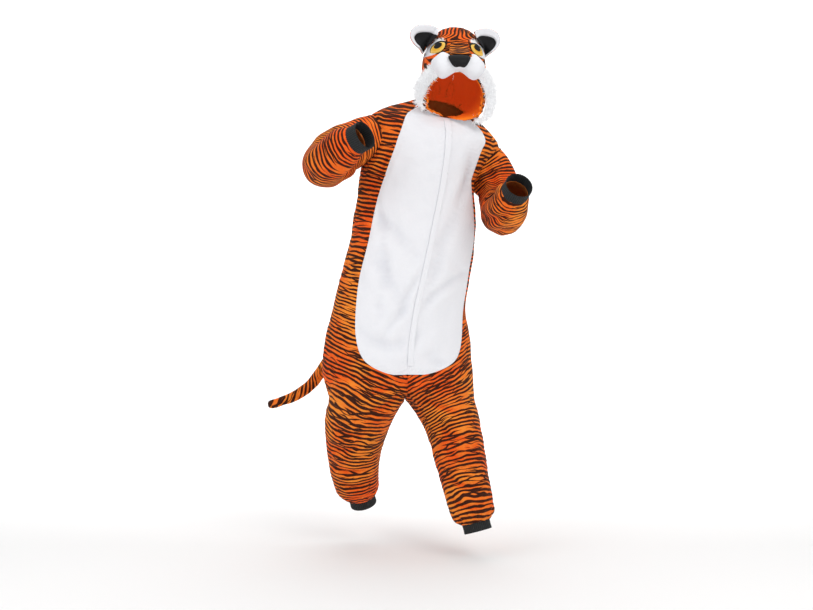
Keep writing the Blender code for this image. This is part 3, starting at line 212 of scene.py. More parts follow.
# Folds seen on the photographed side: name, start, bend and end as (x, z), width, depth
FRONT_FOLDS = (
    ("belly long right", (-0.247, -0.302), (-0.189, -0.481), (-0.215, -0.708), 0.015, 0.0075),
    ("belly upper slant", (-0.293, -0.289), (-0.185, -0.383), (-0.078, -0.504), 0.018, 0.0090),
    ("belly lower slant", (-0.273, -0.432), (-0.163, -0.579), (-0.098, -0.725), 0.017, 0.0075),
    ("belly long left", (0.065, -0.318), (-0.007, -0.481), (-0.055, -0.686), 0.016, 0.0067),
    ("belly edge slant", (0.104, -0.539), (0.016, -0.580), (-0.073, -0.669), 0.010, 0.0095),
    ("belly middle slant", (-0.035, -0.508), (-0.088, -0.580), (-0.136, -0.669), 0.010, 0.0090),
    ("belly low slant", (-0.100, -0.640), (-0.161, -0.707), (-0.190, -0.757), 0.009, 0.0075),
    ("chest right", (-0.143, -0.107), (-0.189, -0.205), (-0.234, -0.289), 0.013, 0.0075),
    ("chest left", (0.097, -0.140), (0.084, -0.237), (0.052, -0.318), 0.012, 0.0075),
    ("belly hang", (-0.293, -0.686), (-0.185, -0.773), (-0.046, -0.725), 0.016, 0.0075),
    ("waist left", (0.032, -0.504), (0.078, -0.536), (0.123, -0.504), 0.012, 0.0040),
    ("crotch right upper", (-0.111, -0.861), (-0.185, -0.913), (-0.293, -0.926), 0.011, 0.0102),
    ("crotch right lower", (-0.114, -0.900), (-0.176, -0.965), (-0.260, -1.004), 0.010, 0.0093),
    ("crotch left upper", (-0.098, -0.868), (-0.007, -0.913), (0.084, -0.907), 0.011, 0.0102),
    ("crotch left lower", (-0.094, -0.907), (-0.020, -0.965), (0.065, -0.985), 0.010, 0.0093),
    ("thigh right", (-0.364, -0.822), (-0.293, -0.874), (-0.189, -0.881), 0.014, 0.0085),
    ("thigh left", (-0.039, -0.809), (0.032, -0.848), (0.117, -0.829), 0.014, 0.0085),
    ("knee right upper", (-0.364, -1.033), (-0.299, -1.069), (-0.228, -1.050), 0.010, 0.0100),
    ("knee right lower", (-0.377, -1.102), (-0.319, -1.121), (-0.260, -1.095), 0.010, 0.0100),
    ("knee left upper", (-0.020, -1.030), (0.042, -1.069), (0.123, -1.050), 0.010, 0.0100),
    ("knee left lower", (-0.007, -1.102), (0.058, -1.134), (0.130, -1.108), 0.010, 0.0100),
    ("shin right upper", (-0.364, -1.173), (-0.306, -1.199), (-0.241, -1.180), 0.009, 0.0110),
    ("shin right lower", (-0.351, -1.232), (-0.299, -1.251), (-0.247, -1.238), 0.008, 0.0100),
    ("shin left upper", (0.006, -1.186), (0.071, -1.219), (0.143, -1.199), 0.009, 0.0110),
    ("shin left lower", (0.019, -1.258), (0.084, -1.284), (0.143, -1.271), 0.008, 0.0100),
    ("upper arm right", (-0.364, -0.140), (-0.423, -0.172), (-0.452, -0.231), 0.010, 0.0081),
    ("elbow right", (-0.445, -0.198), (-0.425, -0.234), (-0.390, -0.263), 0.008, 0.0081),
    ("shoulder left", (0.123, -0.172), (0.162, -0.231), (0.188, -0.302), 0.011, 0.0081),
    ("elbow left upper", (0.117, -0.354), (0.162, -0.374), (0.208, -0.361), 0.009, 0.0081),
    ("elbow left lower", (0.110, -0.396), (0.156, -0.412), (0.201, -0.400), 0.008, 0.0072),
)

# Like folds on the hidden side, with the same columns
BACK_FOLDS = (
    ("back blade right", (-0.060, -0.110), (-0.120, -0.230), (-0.190, -0.330), 0.016, 0.0084),
    ("back blade left", (0.020, -0.110), (0.050, -0.230), (0.080, -0.320), 0.016, 0.0084),
    ("back waist upper", (-0.240, -0.420), (-0.100, -0.470), (0.060, -0.420), 0.018, 0.0084),
    ("back waist lower", (-0.230, -0.540), (-0.120, -0.590), (0.010, -0.550), 0.018, 0.0084),
    ("seat right", (-0.130, -0.800), (-0.210, -0.890), (-0.330, -0.900), 0.016, 0.0084),
    ("seat left", (-0.110, -0.820), (-0.030, -0.900), (0.070, -0.890), 0.016, 0.0084),
    ("knee back right", (-0.370, -1.060), (-0.300, -1.085), (-0.230, -1.060), 0.012, 0.0120),
    ("knee back right low", (-0.370, -1.120), (-0.300, -1.140), (-0.230, -1.110), 0.010, 0.0100),
    ("knee back left", (-0.010, -1.060), (0.055, -1.085), (0.125, -1.060), 0.012, 0.0120),
    ("knee back left low", (0.000, -1.130), (0.065, -1.150), (0.135, -1.120), 0.010, 0.0100),
    ("shin back right", (-0.350, -1.200), (-0.290, -1.225), (-0.230, -1.200), 0.009, 0.0100),
    ("shin back left", (0.010, -1.220), (0.075, -1.250), (0.145, -1.225), 0.009, 0.0100),
    ("arm back right", (-0.300, -0.110), (-0.350, -0.180), (-0.360, -0.260), 0.010, 0.0081),
    ("arm back left", (0.110, -0.210), (0.160, -0.300), (0.210, -0.330), 0.010, 0.0081),
)

FOLDS = tuple(
    Fold(name, face, (start, bend, end), width, -depth)
    for face, rows in ((Face.FRONT, FRONT_FOLDS), (Face.BACK, BACK_FOLDS))
    for name, start, bend, end, width, depth in rows)


class Value:
    """A shader socket that takes part in Python sums."""

    def __init__(self, shader: "Shader", socket: bpy.types.NodeSocket) -> None:
        """Keeps the socket and the shader that it belongs to."""
        self.shader = shader
        self.socket = socket

    def maths(self, operation: str, *others: object, clamp: bool = False) -> "Value":
        """A Math node on this value and others.

        Args:
            operation: The Math node's operation.
            others: Further values, sockets or numbers.
            clamp: Whether the result is held between 0 and 1.

        Returns:
            The result as a value.
        """
        settings = {"operation": operation, "use_clamp": clamp}
        node = self.shader.node("ShaderNodeMath", settings, dict(enumerate((self, *others))))
        return Value(self.shader, node.outputs[0])

    def __add__(self, other: object) -> "Value":
        """Sum."""
        return self.maths("ADD", other)

    __radd__ = __add__

    def __mul__(self, other: object) -> "Value":
        """Product."""
        return self.maths("MULTIPLY", other)

    __rmul__ = __mul__

    def __sub__(self, other: object) -> "Value":
        """Difference."""
        return self.maths("SUBTRACT", other)

    def __rsub__(self, other: float) -> "Value":
        """Difference from a number."""
        return (self * -1.0) + other

    def __truediv__(self, other: object) -> "Value":
        """Quotient."""
        return self.maths("DIVIDE", other)

    def clamped(self) -> "Value":
        """The value held between 0 and 1."""
        return self.maths("ADD", 0.0, clamp=True)

    def either(self, other: object) -> "Value":
        """The larger of two values."""
        return self.maths("MAXIMUM", other)

    def floor(self) -> "Value":
        """The whole number below."""
        return self.maths("FLOOR")

    def size(self) -> "Value":
        """The value without its sign."""
        return self.maths("ABSOLUTE")


class Shader:
    """A material's node tree, written as Python expressions."""

    def __init__(self, name: str) -> None:
        """Starts a material of that name with an empty tree."""
        self.material = bpy.data.materials.new(name)
        self.material.use_nodes = True
        self.tree = self.material.node_tree
        self.tree.nodes.clear()

    def node(self, kind: str, settings: dict | None = None, inputs: dict | None = None) -> bpy.types.Node:
        """A node with its settings made first and its sockets filled next.

        Args:
            kind: The node's type.
            settings: Properties by name.
            inputs: Numbers, colours or values by the socket's name or place.

        Returns:
            The node.
        """
        node = self.tree.nodes.new(kind)
        for name, value in (settings or {}).items():
            setattr(node, name, value)
        for key, value in (inputs or {}).items():
            socket = node.inputs[key]
            if isinstance(value, Value):
                self.tree.links.new(value.socket, socket)
            else:
                socket.default_value = value
        return node

    def attribute(self, name: str) -> Value:
        """The number that a piece's points carry under a name."""
        node = self.node("ShaderNodeAttribute", {"attribute_name": name})
        return Value(self, node.outputs["Fac"])

    def place(self) -> Value:
        """The point's place on the piece."""
        return Value(self, self.node("ShaderNodeTexCoord").outputs["Object"])

    def shifted(self, vector: Value, shift: float) -> Value:
        """A vector moved by a fixed amount along each axis."""
        along = (shift, shift * 2.0, shift * 3.0)
        node = self.node("ShaderNodeMapping", {}, {"Vector": vector, "Location": along})
        return Value(self, node.outputs[0])

    def moved(self, vector: Value, scale: float, shift: Value) -> Value:
        """A vector scaled, and shifted by a value along a slanted line."""
        node = self.node("ShaderNodeVectorMath", {"operation": "SCALE"}, {0: vector, "Scale": scale})
        scaled = Value(self, node.outputs[0])
        slant = self.node("ShaderNodeCombineXYZ", {}, {"X": shift * 3.7, "Y": shift * 1.9, "Z": shift * 5.3})
        aside = Value(self, slant.outputs[0])
        node = self.node("ShaderNodeVectorMath", {"operation": "ADD"}, {0: scaled, 1: aside})
        return Value(self, node.outputs[0])

    def noise(self, vector: Value, scale: float, detail: float = 2.0, rough: float = 0.5) -> Value:
        """Noise about 0.5 at a scale in cells a metre."""
        inputs = {"Vector": vector, "Scale": scale, "Detail": detail, "Roughness": rough}
        return Value(self, self.node("ShaderNodeTexNoise", {}, inputs).outputs["Fac"])

    def mix(self, share: object, first: object, second: object) -> Value:
        """A blend of two colours."""
        settings = {"data_type": "RGBA"}
        node = self.node("ShaderNodeMix", settings, {0: share, 6: first, 7: second})
        return Value(self, node.outputs[2])

    def finish(self, colour: object, rough: object, height: Value, depth: float, sheen: float,
               sheen_and_glow_colour: tuple, coat: float = 0.0, painted_glow: float = 0.0) -> bpy.types.Material:
        """Closes the tree with a bump and a cloth surface.

        Args:
            colour: Base colour, a value or a colour.
            rough: Roughness, a value or a number.
            height: The bump's height.
            depth: The bump's depth in metres.
            sheen: How much light the pile catches at its edge.
            sheen_and_glow_colour: The colour of that light, and of the painted glow.
            coat: How glossy its coat is.
            painted_glow: How strongly the surface glows by itself in that colour: painted light that no lamp
                gives.

        Returns:
            The material.
        """
        bump = self.node("ShaderNodeBump", {}, {"Height": height, "Distance": depth, "Strength": 1.0})
        surface = self.node("ShaderNodeBsdfPrincipled", {}, {
            "Base Color": colour, "Roughness": rough, "Coat Weight": coat,
            # Painted light: the emission makes the surface glow in its sheen colour, with no lamp.
            "Emission Color": (*sheen_and_glow_colour, 1.0), "Emission Strength": painted_glow,
            "Sheen Weight": sheen, "Sheen Roughness": 0.45, "Sheen Tint": (*sheen_and_glow_colour, 1.0),
            "Specular IOR Level": 0.25, "Normal": Value(self, bump.outputs[0])})
        out = self.node("ShaderNodeOutputMaterial")
        self.tree.links.new(surface.outputs[0], out.inputs[0])
        return self.material


@dataclass(frozen=True)
class Stripes:
    """One set of printed stripes: where they lie, how long they are and how they waver.

    The attribute "dense" straightens the stripes and lets more of them show.
    """

    pitch: float = 0.0138
    waver: float = 0.017
    waver_scale: float = 9.0
    length_scale: float = 8.0
    cover: float = 0.305
    taper: float = 6.0
    width: float = 0.62
    ragged: float = 0.14
    fray_scale: float = 210.0
    edge: float = 7.0
    straightening: float = 0.65
    filling: float = 0.25
    offset: float = 0.0

    def mask(self, shader: Shader, place: Value, run: Value) -> Value:
        """Where the dark stripes lie.

        Args:
            shader: The material that is being made.
            place: The point's place.
            run: The distance across the stripes, in metres.

        Returns:
            1 on a stripe and 0 off it.
        """
        bend = shader.noise(shader.shifted(place, self.offset), self.waver_scale, 2.0, 0.55) - 0.5
        dense = shader.attribute("dense")
        bend = bend * (1.0 - dense * self.straightening)
        counted = (run + bend * (2 * self.waver)) / self.pitch + self.offset
        number = counted.floor()
        from_middle = (counted - number - 0.5).size() * 2.0
        fray = shader.noise(place, self.fray_scale, 2.0) - 0.5
        shown = shader.noise(shader.moved(place, self.length_scale, number), 1.0, 1.5) - self.cover
        shown = shown + dense * self.filling
        wide = (shown * self.taper).clamped() * self.width
        return ((wide - from_middle - fray * self.ragged) * self.edge).clamped()


@dataclass(frozen=True)
class TigerPlush:
    """Short orange plush with printed dark stripes, pale patches where the print has them, and painted shade
    in its folds' troughs.
    """

    name: str = "tiger_plush_striped"
    orange: tuple = (0.92, 0.260, 0.024, 1.0)
    deep_tone_and_shade: tuple = (0.86, 0.100, 0.006, 1.0)
    light: tuple = (0.93, 0.34, 0.060, 1.0)
    dark: tuple = (0.042, 0.008, 0.002, 1.0)
    pale: tuple = (0.86, 0.86, 0.87, 1.0)
    backing: tuple = (0.62, 0.20, 0.04, 1.0)
    blotch_scale: float = 5.5
    streak_scale: float = 60.0
    fray_scale: float = 160.0
    pile_scale: float = 420.0
    lay_scale: float = 95.0
    pile_depth: float = 0.0011
    sheen: float = 0.07
    sheen_and_glow_colour: tuple = (1.0, 0.40, 0.14)
    stripes: tuple = (
        Stripes(),
        Stripes(pitch=0.0150, waver=0.025, waver_scale=11.0, length_scale=9.0, cover=0.43, width=0.46,
                offset=0.47))

    def material(self) -> bpy.types.Material:
        """The plush with its stripes."""
        shader = Shader(self.name)
        place = shader.place()
        run = shader.attribute("run")
        dark = self.stripes[0].mask(shader, place, run)
        for further in self.stripes[1:]:
            dark = dark.either(further.mask(shader, place, run))
        blotch = shader.noise(place, self.blotch_scale, 3.0, 0.6)
        ground = shader.mix(((blotch - 0.40) * 4.5).clamped(), self.deep_tone_and_shade, self.orange)
        # Painted shade: the folds' troughs take the deep red colour.
        ground = shader.mix(shader.attribute("trough"), ground, self.deep_tone_and_shade)
        streak = shader.noise(place, self.streak_scale, 3.0, 0.7)
        ground = shader.mix(((streak - 0.5) * 1.6).clamped(), ground, self.light)
        fray = shader.noise(place, self.fray_scale, 2.0) - 0.5
        pale = ((shader.attribute("pale") + fray * 0.5 - 0.5) * 6.0).clamped()
        marks = ((shader.attribute("marks") + fray * 0.6 - 0.5) * 6.0).clamped()
        ground = shader.mix(pale, ground, self.pale)
        dark = (dark * (1.0 - pale)).either(marks)
        inside = shader.attribute("inside")
        colour = shader.mix(dark * (1.0 - inside), ground, self.dark)
        colour = shader.mix(inside, colour, self.backing)
        lay = shader.noise(place, self.lay_scale, 2.0)
        pile = shader.noise(place, self.pile_scale, 3.0, 0.7) + lay * 0.7
        rough = 0.86 + shader.noise(place, 40.0) * 0.12
        return shader.finish(colour, rough, pile, self.pile_depth, self.sheen, self.sheen_and_glow_colour)


@dataclass(frozen=True)
class PlainPlush:
    """Short plush of one colour, with a slight mottle where the pile lies in different ways, painted shade in
    its folds' troughs and, where set, a painted glow.
    """

    name: str
    base: tuple
    shade: tuple
    sheen: float
    sheen_and_glow_colour: tuple
    pile_depth: float = 0.0011
    pile_scale: float = 420.0
    mottle_scale: float = 14.0
    fine_scale: float = 130.0
    lay_scale: float = 90.0
    coat: float = 0.0
    # How strongly the plush glows by itself: painted light.
    painted_glow: float = 0.0
    trough_shade_colour: tuple = (0.55, 0.56, 0.62, 1.0)
    trough_shade_share: float = 0.35

    def material(self) -> bpy.types.Material:
        """The plain plush."""
        shader = Shader(self.name)
        place = shader.place()
        mottle = shader.noise(place, self.mottle_scale, 3.0, 0.6)
        fine = shader.noise(place, self.fine_scale, 2.0)
        share = ((mottle - 0.5) * 0.5 + (fine - 0.5) * 0.6 + 0.6).clamped()
        colour = shader.mix(share, self.shade, self.base)
        # Painted shade: the folds' troughs turn towards the grey-blue shade colour.
        colour = shader.mix(shader.attribute("trough") * self.trough_shade_share, colour, self.trough_shade_colour)
        lay = shader.noise(place, self.lay_scale, 2.0)
        pile = shader.noise(place, self.pile_scale, 3.0, 0.7) + lay * 0.7
        rough = 0.84 + fine * 0.14
        return shader.finish(colour, rough, pile, self.pile_depth, self.sheen, self.sheen_and_glow_colour,
                             coat=self.coat, painted_glow=self.painted_glow)


@dataclass(frozen=True)
class SmoothLining:
    """Smooth orange lining, its edge by the fur folded over from the striped plush; it turns deep red deeper
    inside the hood as painted shade, and glows a little as painted light.
    """

    name: str = "orange_lining_smooth"
    bright: tuple = (1.0, 0.24, 0.012, 1.0)
    deep_tone_and_shade: tuple = (0.70, 0.045, 0.003, 1.0)
    dark: tuple = (0.05, 0.02, 0.015, 1.0)
    mottle_scale: float = 9.0
    dash_scale: float = 120.0
    weave_scale: float = 700.0
    weave_depth: float = 0.0006
    sheen: float = 0.2
    sheen_and_glow_colour: tuple = (1.0, 0.22, 0.03)
    # How strongly the lining glows by itself: painted light.
    painted_glow: float = 0.11

    def material(self) -> bpy.types.Material:
        """The lining."""
        shader = Shader(self.name)
        place = shader.place()
        mottle = shader.noise(place, self.mottle_scale, 2.0)
        # Painted shade: the farther from the fur and the deeper into the hood, the redder and darker the
        # lining.
        depth = (shader.attribute("depth") + (mottle - 0.5) * 0.5).clamped()
        colour = shader.mix(depth, self.bright, self.deep_tone_and_shade)
        dash = shader.noise(place, self.dash_scale, 1.0)
        edge = shader.attribute("edge") * ((dash - 0.52) * 14.0).clamped()
        colour = shader.mix(edge.clamped(), colour, self.dark)
        weave = shader.noise(place, self.weave_scale, 2.0) + shader.noise(place, 60.0, 2.0) * 0.6
        return shader.finish(colour, 0.62 + mottle * 0.1, weave, self.weave_depth, self.sheen,
                             self.sheen_and_glow_colour, painted_glow=self.painted_glow)


@dataclass(frozen=True)
class RibKnit:
    """Black rib knit of the cuffs."""

    name: str = "black_rib_knit"
    base: tuple = (0.010, 0.011, 0.0115, 1.0)
    wale_highlight: tuple = (0.030, 0.033, 0.034, 1.0)
    fibre_scale: float = 500.0
    fibre_depth: float = 0.0006
    sheen: float = 0.10
    sheen_and_glow_colour: tuple = (0.6, 0.65, 0.7)

    def material(self) -> bpy.types.Material:
        """The rib, lighter on its raised wales as a painted highlight and darker between them as painted
        shade.
        """
        shader = Shader(self.name)
        place = shader.place()
        fine = shader.noise(place, self.fibre_scale, 2.0)
        wale = shader.attribute("wale")
        # Painted highlight on the wales and painted shade between them.
        colour = shader.mix((wale * 0.7 + (fine - 0.5) * 0.6).clamped(), self.base, self.wale_highlight)
        return shader.finish(colour, 0.82 + fine * 0.1, fine, self.fibre_depth, self.sheen, self.sheen_and_glow_colour)


@dataclass(frozen=True)
class AmberFelt:
    """Amber felt of the irises, paler outwards and green round the pupil."""

    name: str = "amber_felt_iris"
    amber: tuple = (0.78, 0.40, 0.025, 1.0)
    pale: tuple = (0.88, 0.58, 0.12, 1.0)
    green: tuple = (0.16, 0.17, 0.03, 1.0)
    fibre_scale: float = 300.0
    fibre_depth: float = 0.0004
    sheen: float = 0.1
    sheen_and_glow_colour: tuple = (1.0, 0.9, 0.6)
    coat: float = 0.15

    def material(self) -> bpy.types.Material:
        """The felt, its colour by the distance from the pupil."""
        shader = Shader(self.name)
        place = shader.place()
        share = shader.attribute("share")
        fibre = shader.noise(place, self.fibre_scale, 3.0, 0.7)
        colour = shader.mix(((share - 0.55) * 3.0 + (fibre - 0.5)).clamped(), self.amber, self.pale)
        inner = ((0.42 - share) * 5.0 + (fibre - 0.5)).clamped()
        colour = shader.mix(inner, colour, self.green)
        return shader.finish(colour, 0.55 + fibre * 0.2, fibre, self.fibre_depth, self.sheen,
                             self.sheen_and_glow_colour, coat=self.coat)


class Wardrobe:
    """All the finishes, made once and handed to the pieces by slot."""

    def __init__(self) -> None:
        """Makes every material."""
        # The white plush and the long fur glow by themselves as painted light, to look brighter.
        white = PlainPlush("white_plush_short", base=(0.82, 0.82, 0.85, 1.0), shade=(0.77, 0.78, 0.82, 1.0),
                           sheen=0.15, sheen_and_glow_colour=(0.9, 0.95, 1.0), painted_glow=0.05)
        fur = PlainPlush("white_fur_long", base=(0.90, 0.90, 0.90, 1.0), shade=(0.80, 0.81, 0.83, 1.0),
                         sheen=0.3, sheen_and_glow_colour=(0.97, 0.98, 1.0), pile_depth=0.0006, painted_glow=0.22)
        black = PlainPlush("black_plush_short", base=(0.011, 0.011, 0.012, 1.0),
                           shade=(0.006, 0.006, 0.007, 1.0), sheen=0.08, sheen_and_glow_colour=(0.5, 0.5, 0.55),
                           pile_depth=0.0008, coat=0.05)
        self.materials = {
            Finish.TIGER: TigerPlush().material(),
            Finish.WHITE: white.material(),
            Finish.FUR: fur.material(),
            Finish.RIB: RibKnit().material(),
            Finish.BLACK: black.material(),
            Finish.LINING: SmoothLining().material(),
            Finish.AMBER: AmberFelt().material(),
        }

    def dress(self, piece: bpy.types.Object, finish: Finish, *nodes: str) -> bpy.types.Object:
        """Gives a piece its finish, its body and the nodes that it stands for.

        Args:
            piece: The finished object.
            finish: Its finish.
            nodes: The CAD nodes that it replaces.

        Returns:
            The same object.
        """
        piece.data.materials.clear()
        piece.data.materials.append(self.materials[finish])
        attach(piece, ROOT)
        if nodes:
            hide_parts(*nodes)
        log.info("%s: %d faces", piece.name, len(piece.data.polygons))
        return piece


def linked(name: str, data: bpy.types.ID) -> bpy.types.Object:
    """An object of that name in the scene, of a mesh, curve, lamp or camera."""
    piece = bpy.data.objects.new(name, data)
    bpy.context.scene.collection.objects.link(piece)
    return piece


def points_of(mesh: bpy.types.Mesh) -> np.ndarray:
    """The mesh's points, one a row."""
    flat = np.empty(len(mesh.vertices) * 3)
    mesh.vertices.foreach_get("co", flat)
    return flat.reshape(-1, 3)


def normals_of(mesh: bpy.types.Mesh) -> np.ndarray:
    """The mesh's normals at its points, one a row."""
    flat = np.empty(len(mesh.vertices) * 3)
    mesh.vertices.foreach_get("normal", flat)
    return flat.reshape(-1, 3)


def move_points(mesh: bpy.types.Mesh, places: np.ndarray) -> None:
    """Moves the mesh's points to new places."""
    mesh.vertices.foreach_set("co", places.ravel())
    mesh.update()


def shade_smooth(mesh: bpy.types.Mesh) -> None:
    """Shades all of the mesh's faces smoothly."""
    mesh.polygons.foreach_set("use_smooth", [True] * len(mesh.polygons))


def turned_outwards(mesh: bpy.types.Mesh) -> None:
    """Turns a closed mesh's faces outwards."""
    form = bmesh.new()
    form.from_mesh(mesh)
    bmesh.ops.recalc_face_normals(form, faces=form.faces)
    form.to_mesh(mesh)
    form.free()


def search_tree(places: np.ndarray) -> KDTree:
    """A tree that finds the nearest of some points."""
    tree = KDTree(len(places))
    for i, place in enumerate(places):
        tree.insert(Vector(place), i)
    tree.balance()
    return tree


def away_from(tree: KDTree, places: np.ndarray) -> np.ndarray:
    """How far each place lies from the tree's nearest point."""
    return np.array([tree.find(Vector(place))[2] for place in places])


def carry(mesh: bpy.types.Mesh, name: str, values: np.ndarray) -> None:
    """Stores a number a point on the mesh under a name."""
    kept = mesh.attributes.get(name) or mesh.attributes.new(name, "FLOAT", "POINT")
    kept.data.foreach_set("value", np.asarray(values, dtype=np.float32))


def carry_none(mesh: bpy.types.Mesh, *names: str) -> None:
    """Stores zero on every point under each name, where the print has nothing of that kind."""
    for name in names:
        carry(mesh, name, np.zeros(len(mesh.vertices)))


@dataclass(frozen=True)
class FineCopy:
    """Makes a fine, smooth copy of one of the frame's walls."""

    levels: int = 3
    merge: float = 2e-5
    rim_turn: float = math.radians(55.0)
    rim_crease: float = 0.9
    rim_step: float = 0.003

    def of(self, node: str, name: str) -> tuple:
        """The copy and the points of its wall's rim.

        Args:
            node: The CAD node that is copied.
            name: The new object's name.

        Returns:
            The object, and the rim's points before smoothing.
        """
        form = bmesh.new()
        form.from_mesh(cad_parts[node].data)
        bmesh.ops.remove_doubles(form, verts=form.verts, dist=self.merge)
        bmesh.ops.join_triangles(form, faces=form.faces, angle_face_threshold=math.pi,
                                 angle_shape_threshold=math.pi, cmp_seam=False, cmp_sharp=False)
        crease = form.edges.layers.float.new("crease_edge")
        rim = set()
        for edge in form.edges:
            if len(edge.link_faces) == 2 and edge.calc_face_angle(0.0) > self.rim_turn:
                edge[crease] = self.rim_crease
                start, end = (corner.co for corner in edge.verts)
                steps = max(1, round(edge.calc_length() / self.rim_step))
                rim.update(tuple(start.lerp(end, i / steps)) for i in range(steps + 1))
        mesh = bpy.data.meshes.new(name)
        form.to_mesh(mesh)
        form.free()
        piece = linked(name, mesh)
        smoother = piece.modifiers.new("finer", "SUBSURF")
        smoother.levels = self.levels
        smoother.render_levels = self.levels
        return flattened(piece), np.array(sorted(rim))


def flattened(piece: bpy.types.Object) -> bpy.types.Object:
    """The piece as a plain smooth mesh, its modifiers used up."""
    bpy.context.view_layer.update()
    mesh = bpy.data.meshes.new_from_object(piece.evaluated_get(bpy.context.evaluated_depsgraph_get()))
    piece.modifiers.clear()
    old = piece.data
    piece.data = mesh
    bpy.data.meshes.remove(old)
    mesh.name = piece.name
    shade_smooth(mesh)
    return piece


def unevenness(places: np.ndarray, seed: int, waves: int = 9) -> np.ndarray:
    """A slow random waver over space, about -1 to 1, from a fixed seed.

    Args:
        places: Points in the world.
        seed: The seed.
        waves: How many waves are summed.

    Returns:
        The waver at each point.
    """
    chance = np.random.default_rng(seed)
    total = np.zeros(len(places))
    for _ in range(waves):
        way = chance.normal(size=3)
        way *= (2 * np.pi / chance.uniform(0.035, 0.11)) / np.linalg.norm(way)
        total += np.sin(places @ way + chance.uniform(0, 2 * np.pi))
    return total / math.sqrt(waves)


@dataclass
class ClothPanel:
    """A sewn cloth piece with its folds, its seams' pull and its stripes' run."""

    node: str
    finish: Finish
    line: MiddleLine
    cut: tuple
    hangs_from: str
    levels: int = 3
    seam_pull: float = 0.0019
    seam_width: float = 0.0075
    fold_fade: float = 0.012
    pucker: float = 0.0011
    pucker_every: float = 0.016
    pucker_beside: float = 1.6
    pucker_slant: float = 0.8
    pucker_waver: float = 2.0
    waver: float = 0.0010
    overlap: float = 0.0026
    overlap_band: float = 0.004
    neck_overlap: float = 0.0020
    stripe_count: float = 1.0
    neck: tuple = (0.0, 0.075, -0.06)
    neck_blur: float = 0.02
    neck_band: float = 0.075
    behind_from: float = 0.03
    behind_band: tuple = (-0.135, 0.09)
    held: str = "hung"
    deepest: float = 0.009
    trough_from: float = 0.010
    hem_gather: float = 0.0
    hem_band: float = 0.055
    hem_full: float = 0.018
    hem_end: tuple = (0.010, 0.002)
    hem_pleats: int = 17
    pleat_waver: float = 1.6
    pleat_uneven: float = 0.5
    piece: bpy.types.Object = None

    def build(self, wardrobe: Wardrobe, seed: int) -> bpy.types.Object:
        """Makes the piece and dresses it.

        Args:
            wardrobe: The finishes.
            seed: The seed of its unevenness.

        Returns:
            The finished piece.
        """
        self.piece, rim = FineCopy(self.levels).of(self.node, self.node + "_cloth")
        mesh = self.piece.data
        places = points_of(mesh)
        run, out = self.line.measure(places)
        lift = self.waver * unevenness(places, seed)
        for fold in FOLDS:
            lift += fold.rise(places, out)
        near = away_from(search_tree(rim), places)
        pull = np.exp(-(near / self.seam_width) ** 2)
        beside = np.exp(-((near - self.pucker_beside * self.seam_width) / self.seam_width) ** 2)
        along = 2 * np.pi * (run + places[:, 0] * self.pucker_slant) / self.pucker_every
        gather = np.sin(along + unevenness(places, seed + 1) * self.pucker_waver)
        lift = lift * (1 - np.exp(-(near / self.fold_fade) ** 2)) - self.seam_pull * pull
        lift += beside * self.pucker * gather
        lift += self.gathered(places, run, out, seed)
        moved = self.widened(places, near) + out * lift[:, None]
        # Painted shade: how deep each point lies in a fold's trough, which the finishes darken.
        carry(mesh, "trough", np.clip(-lift * (near > self.trough_from) / self.deepest, 0.0, 1.0))
        move_points(mesh, moved)
        carry(mesh, "inside", smooth_step(-(normals_of(mesh) * out).sum(axis=1), 0.0, 0.4))
        self.carry_print(mesh, moved, run * self.stripe_count)
        wardrobe.dress(self.piece, self.finish, self.node)
        area = self.flat_area()
        return self.piece

    def gathered(self, places: np.ndarray, run: np.ndarray, out: np.ndarray, seed: int) -> np.ndarray:
        """The small pleats above a leg's cuff, where the cloth is drawn in.

        Args:
            places: The points.
            run: Their distance along the middle line.
            out: Unit vectors outwards.
            seed: The seed of the pleats' unevenness.

        Returns:
            The lift in metres, one a point.
        """
        end = run.max()
        rising = smooth_step(run, end - self.hem_band, end - self.hem_full)
        band = rising * (1 - smooth_step(run, end - self.hem_end[0], end - self.hem_end[1]))
        turn = np.arctan2(out[:, 1], out[:, 0])
        pleats = np.sin(self.hem_pleats * turn + self.pleat_waver * unevenness(places, seed + 2))
        return self.hem_gather * band * (pleats + self.pleat_uneven * unevenness(places, seed + 3))

    def carry_print(self, mesh: bpy.types.Mesh, places: np.ndarray, run: np.ndarray) -> None:
        """Stores what the stripes follow, and the white below the face opening."""
        x, y, z = places.T
        middle, half_wide, level = self.neck
        beside = 1 - smooth_step(np.abs(x - middle), half_wide - self.neck_blur, half_wide + self.neck_blur)
        above = smooth_step(z, level - self.neck_blur, level + self.neck_blur)
        carry(mesh, "run", run)
        carry(mesh, "pale", beside * above * (y < 0.0))
        carry_none(mesh, "marks", "dense")

    def widened(self, places: np.ndarray, near: np.ndarray) -> np.ndarray:
        """The points with the rim moved out a little, so that the sewn edges meet."""
        tree = search_tree(places[(near > self.overlap_band) & (near < 3 * self.overlap_band)])
        low, high = self.behind_band
        moved = places.copy()
        for i in np.flatnonzero(near < self.overlap_band):
            away = places[i] - np.array(tree.find(Vector(places[i]))[0])
            behind = places[i, 1] > self.behind_from and low < places[i, 2] < high
            at_neck = behind or abs(places[i, 2] - self.neck[2]) < self.neck_band
            lap = self.overlap + self.neck_overlap * at_neck
            moved[i] += away / np.linalg.norm(away) * lap * (1 - near[i] / self.overlap_band)
        return moved

    def flat_area(self) -> float:
        """The cut's flat area: one layer of the wall, without folds."""
        area = sum(face.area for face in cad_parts[self.node].data.polygons) / 2
        return round(min(area, self.cut[0] * self.cut[1]), 4)


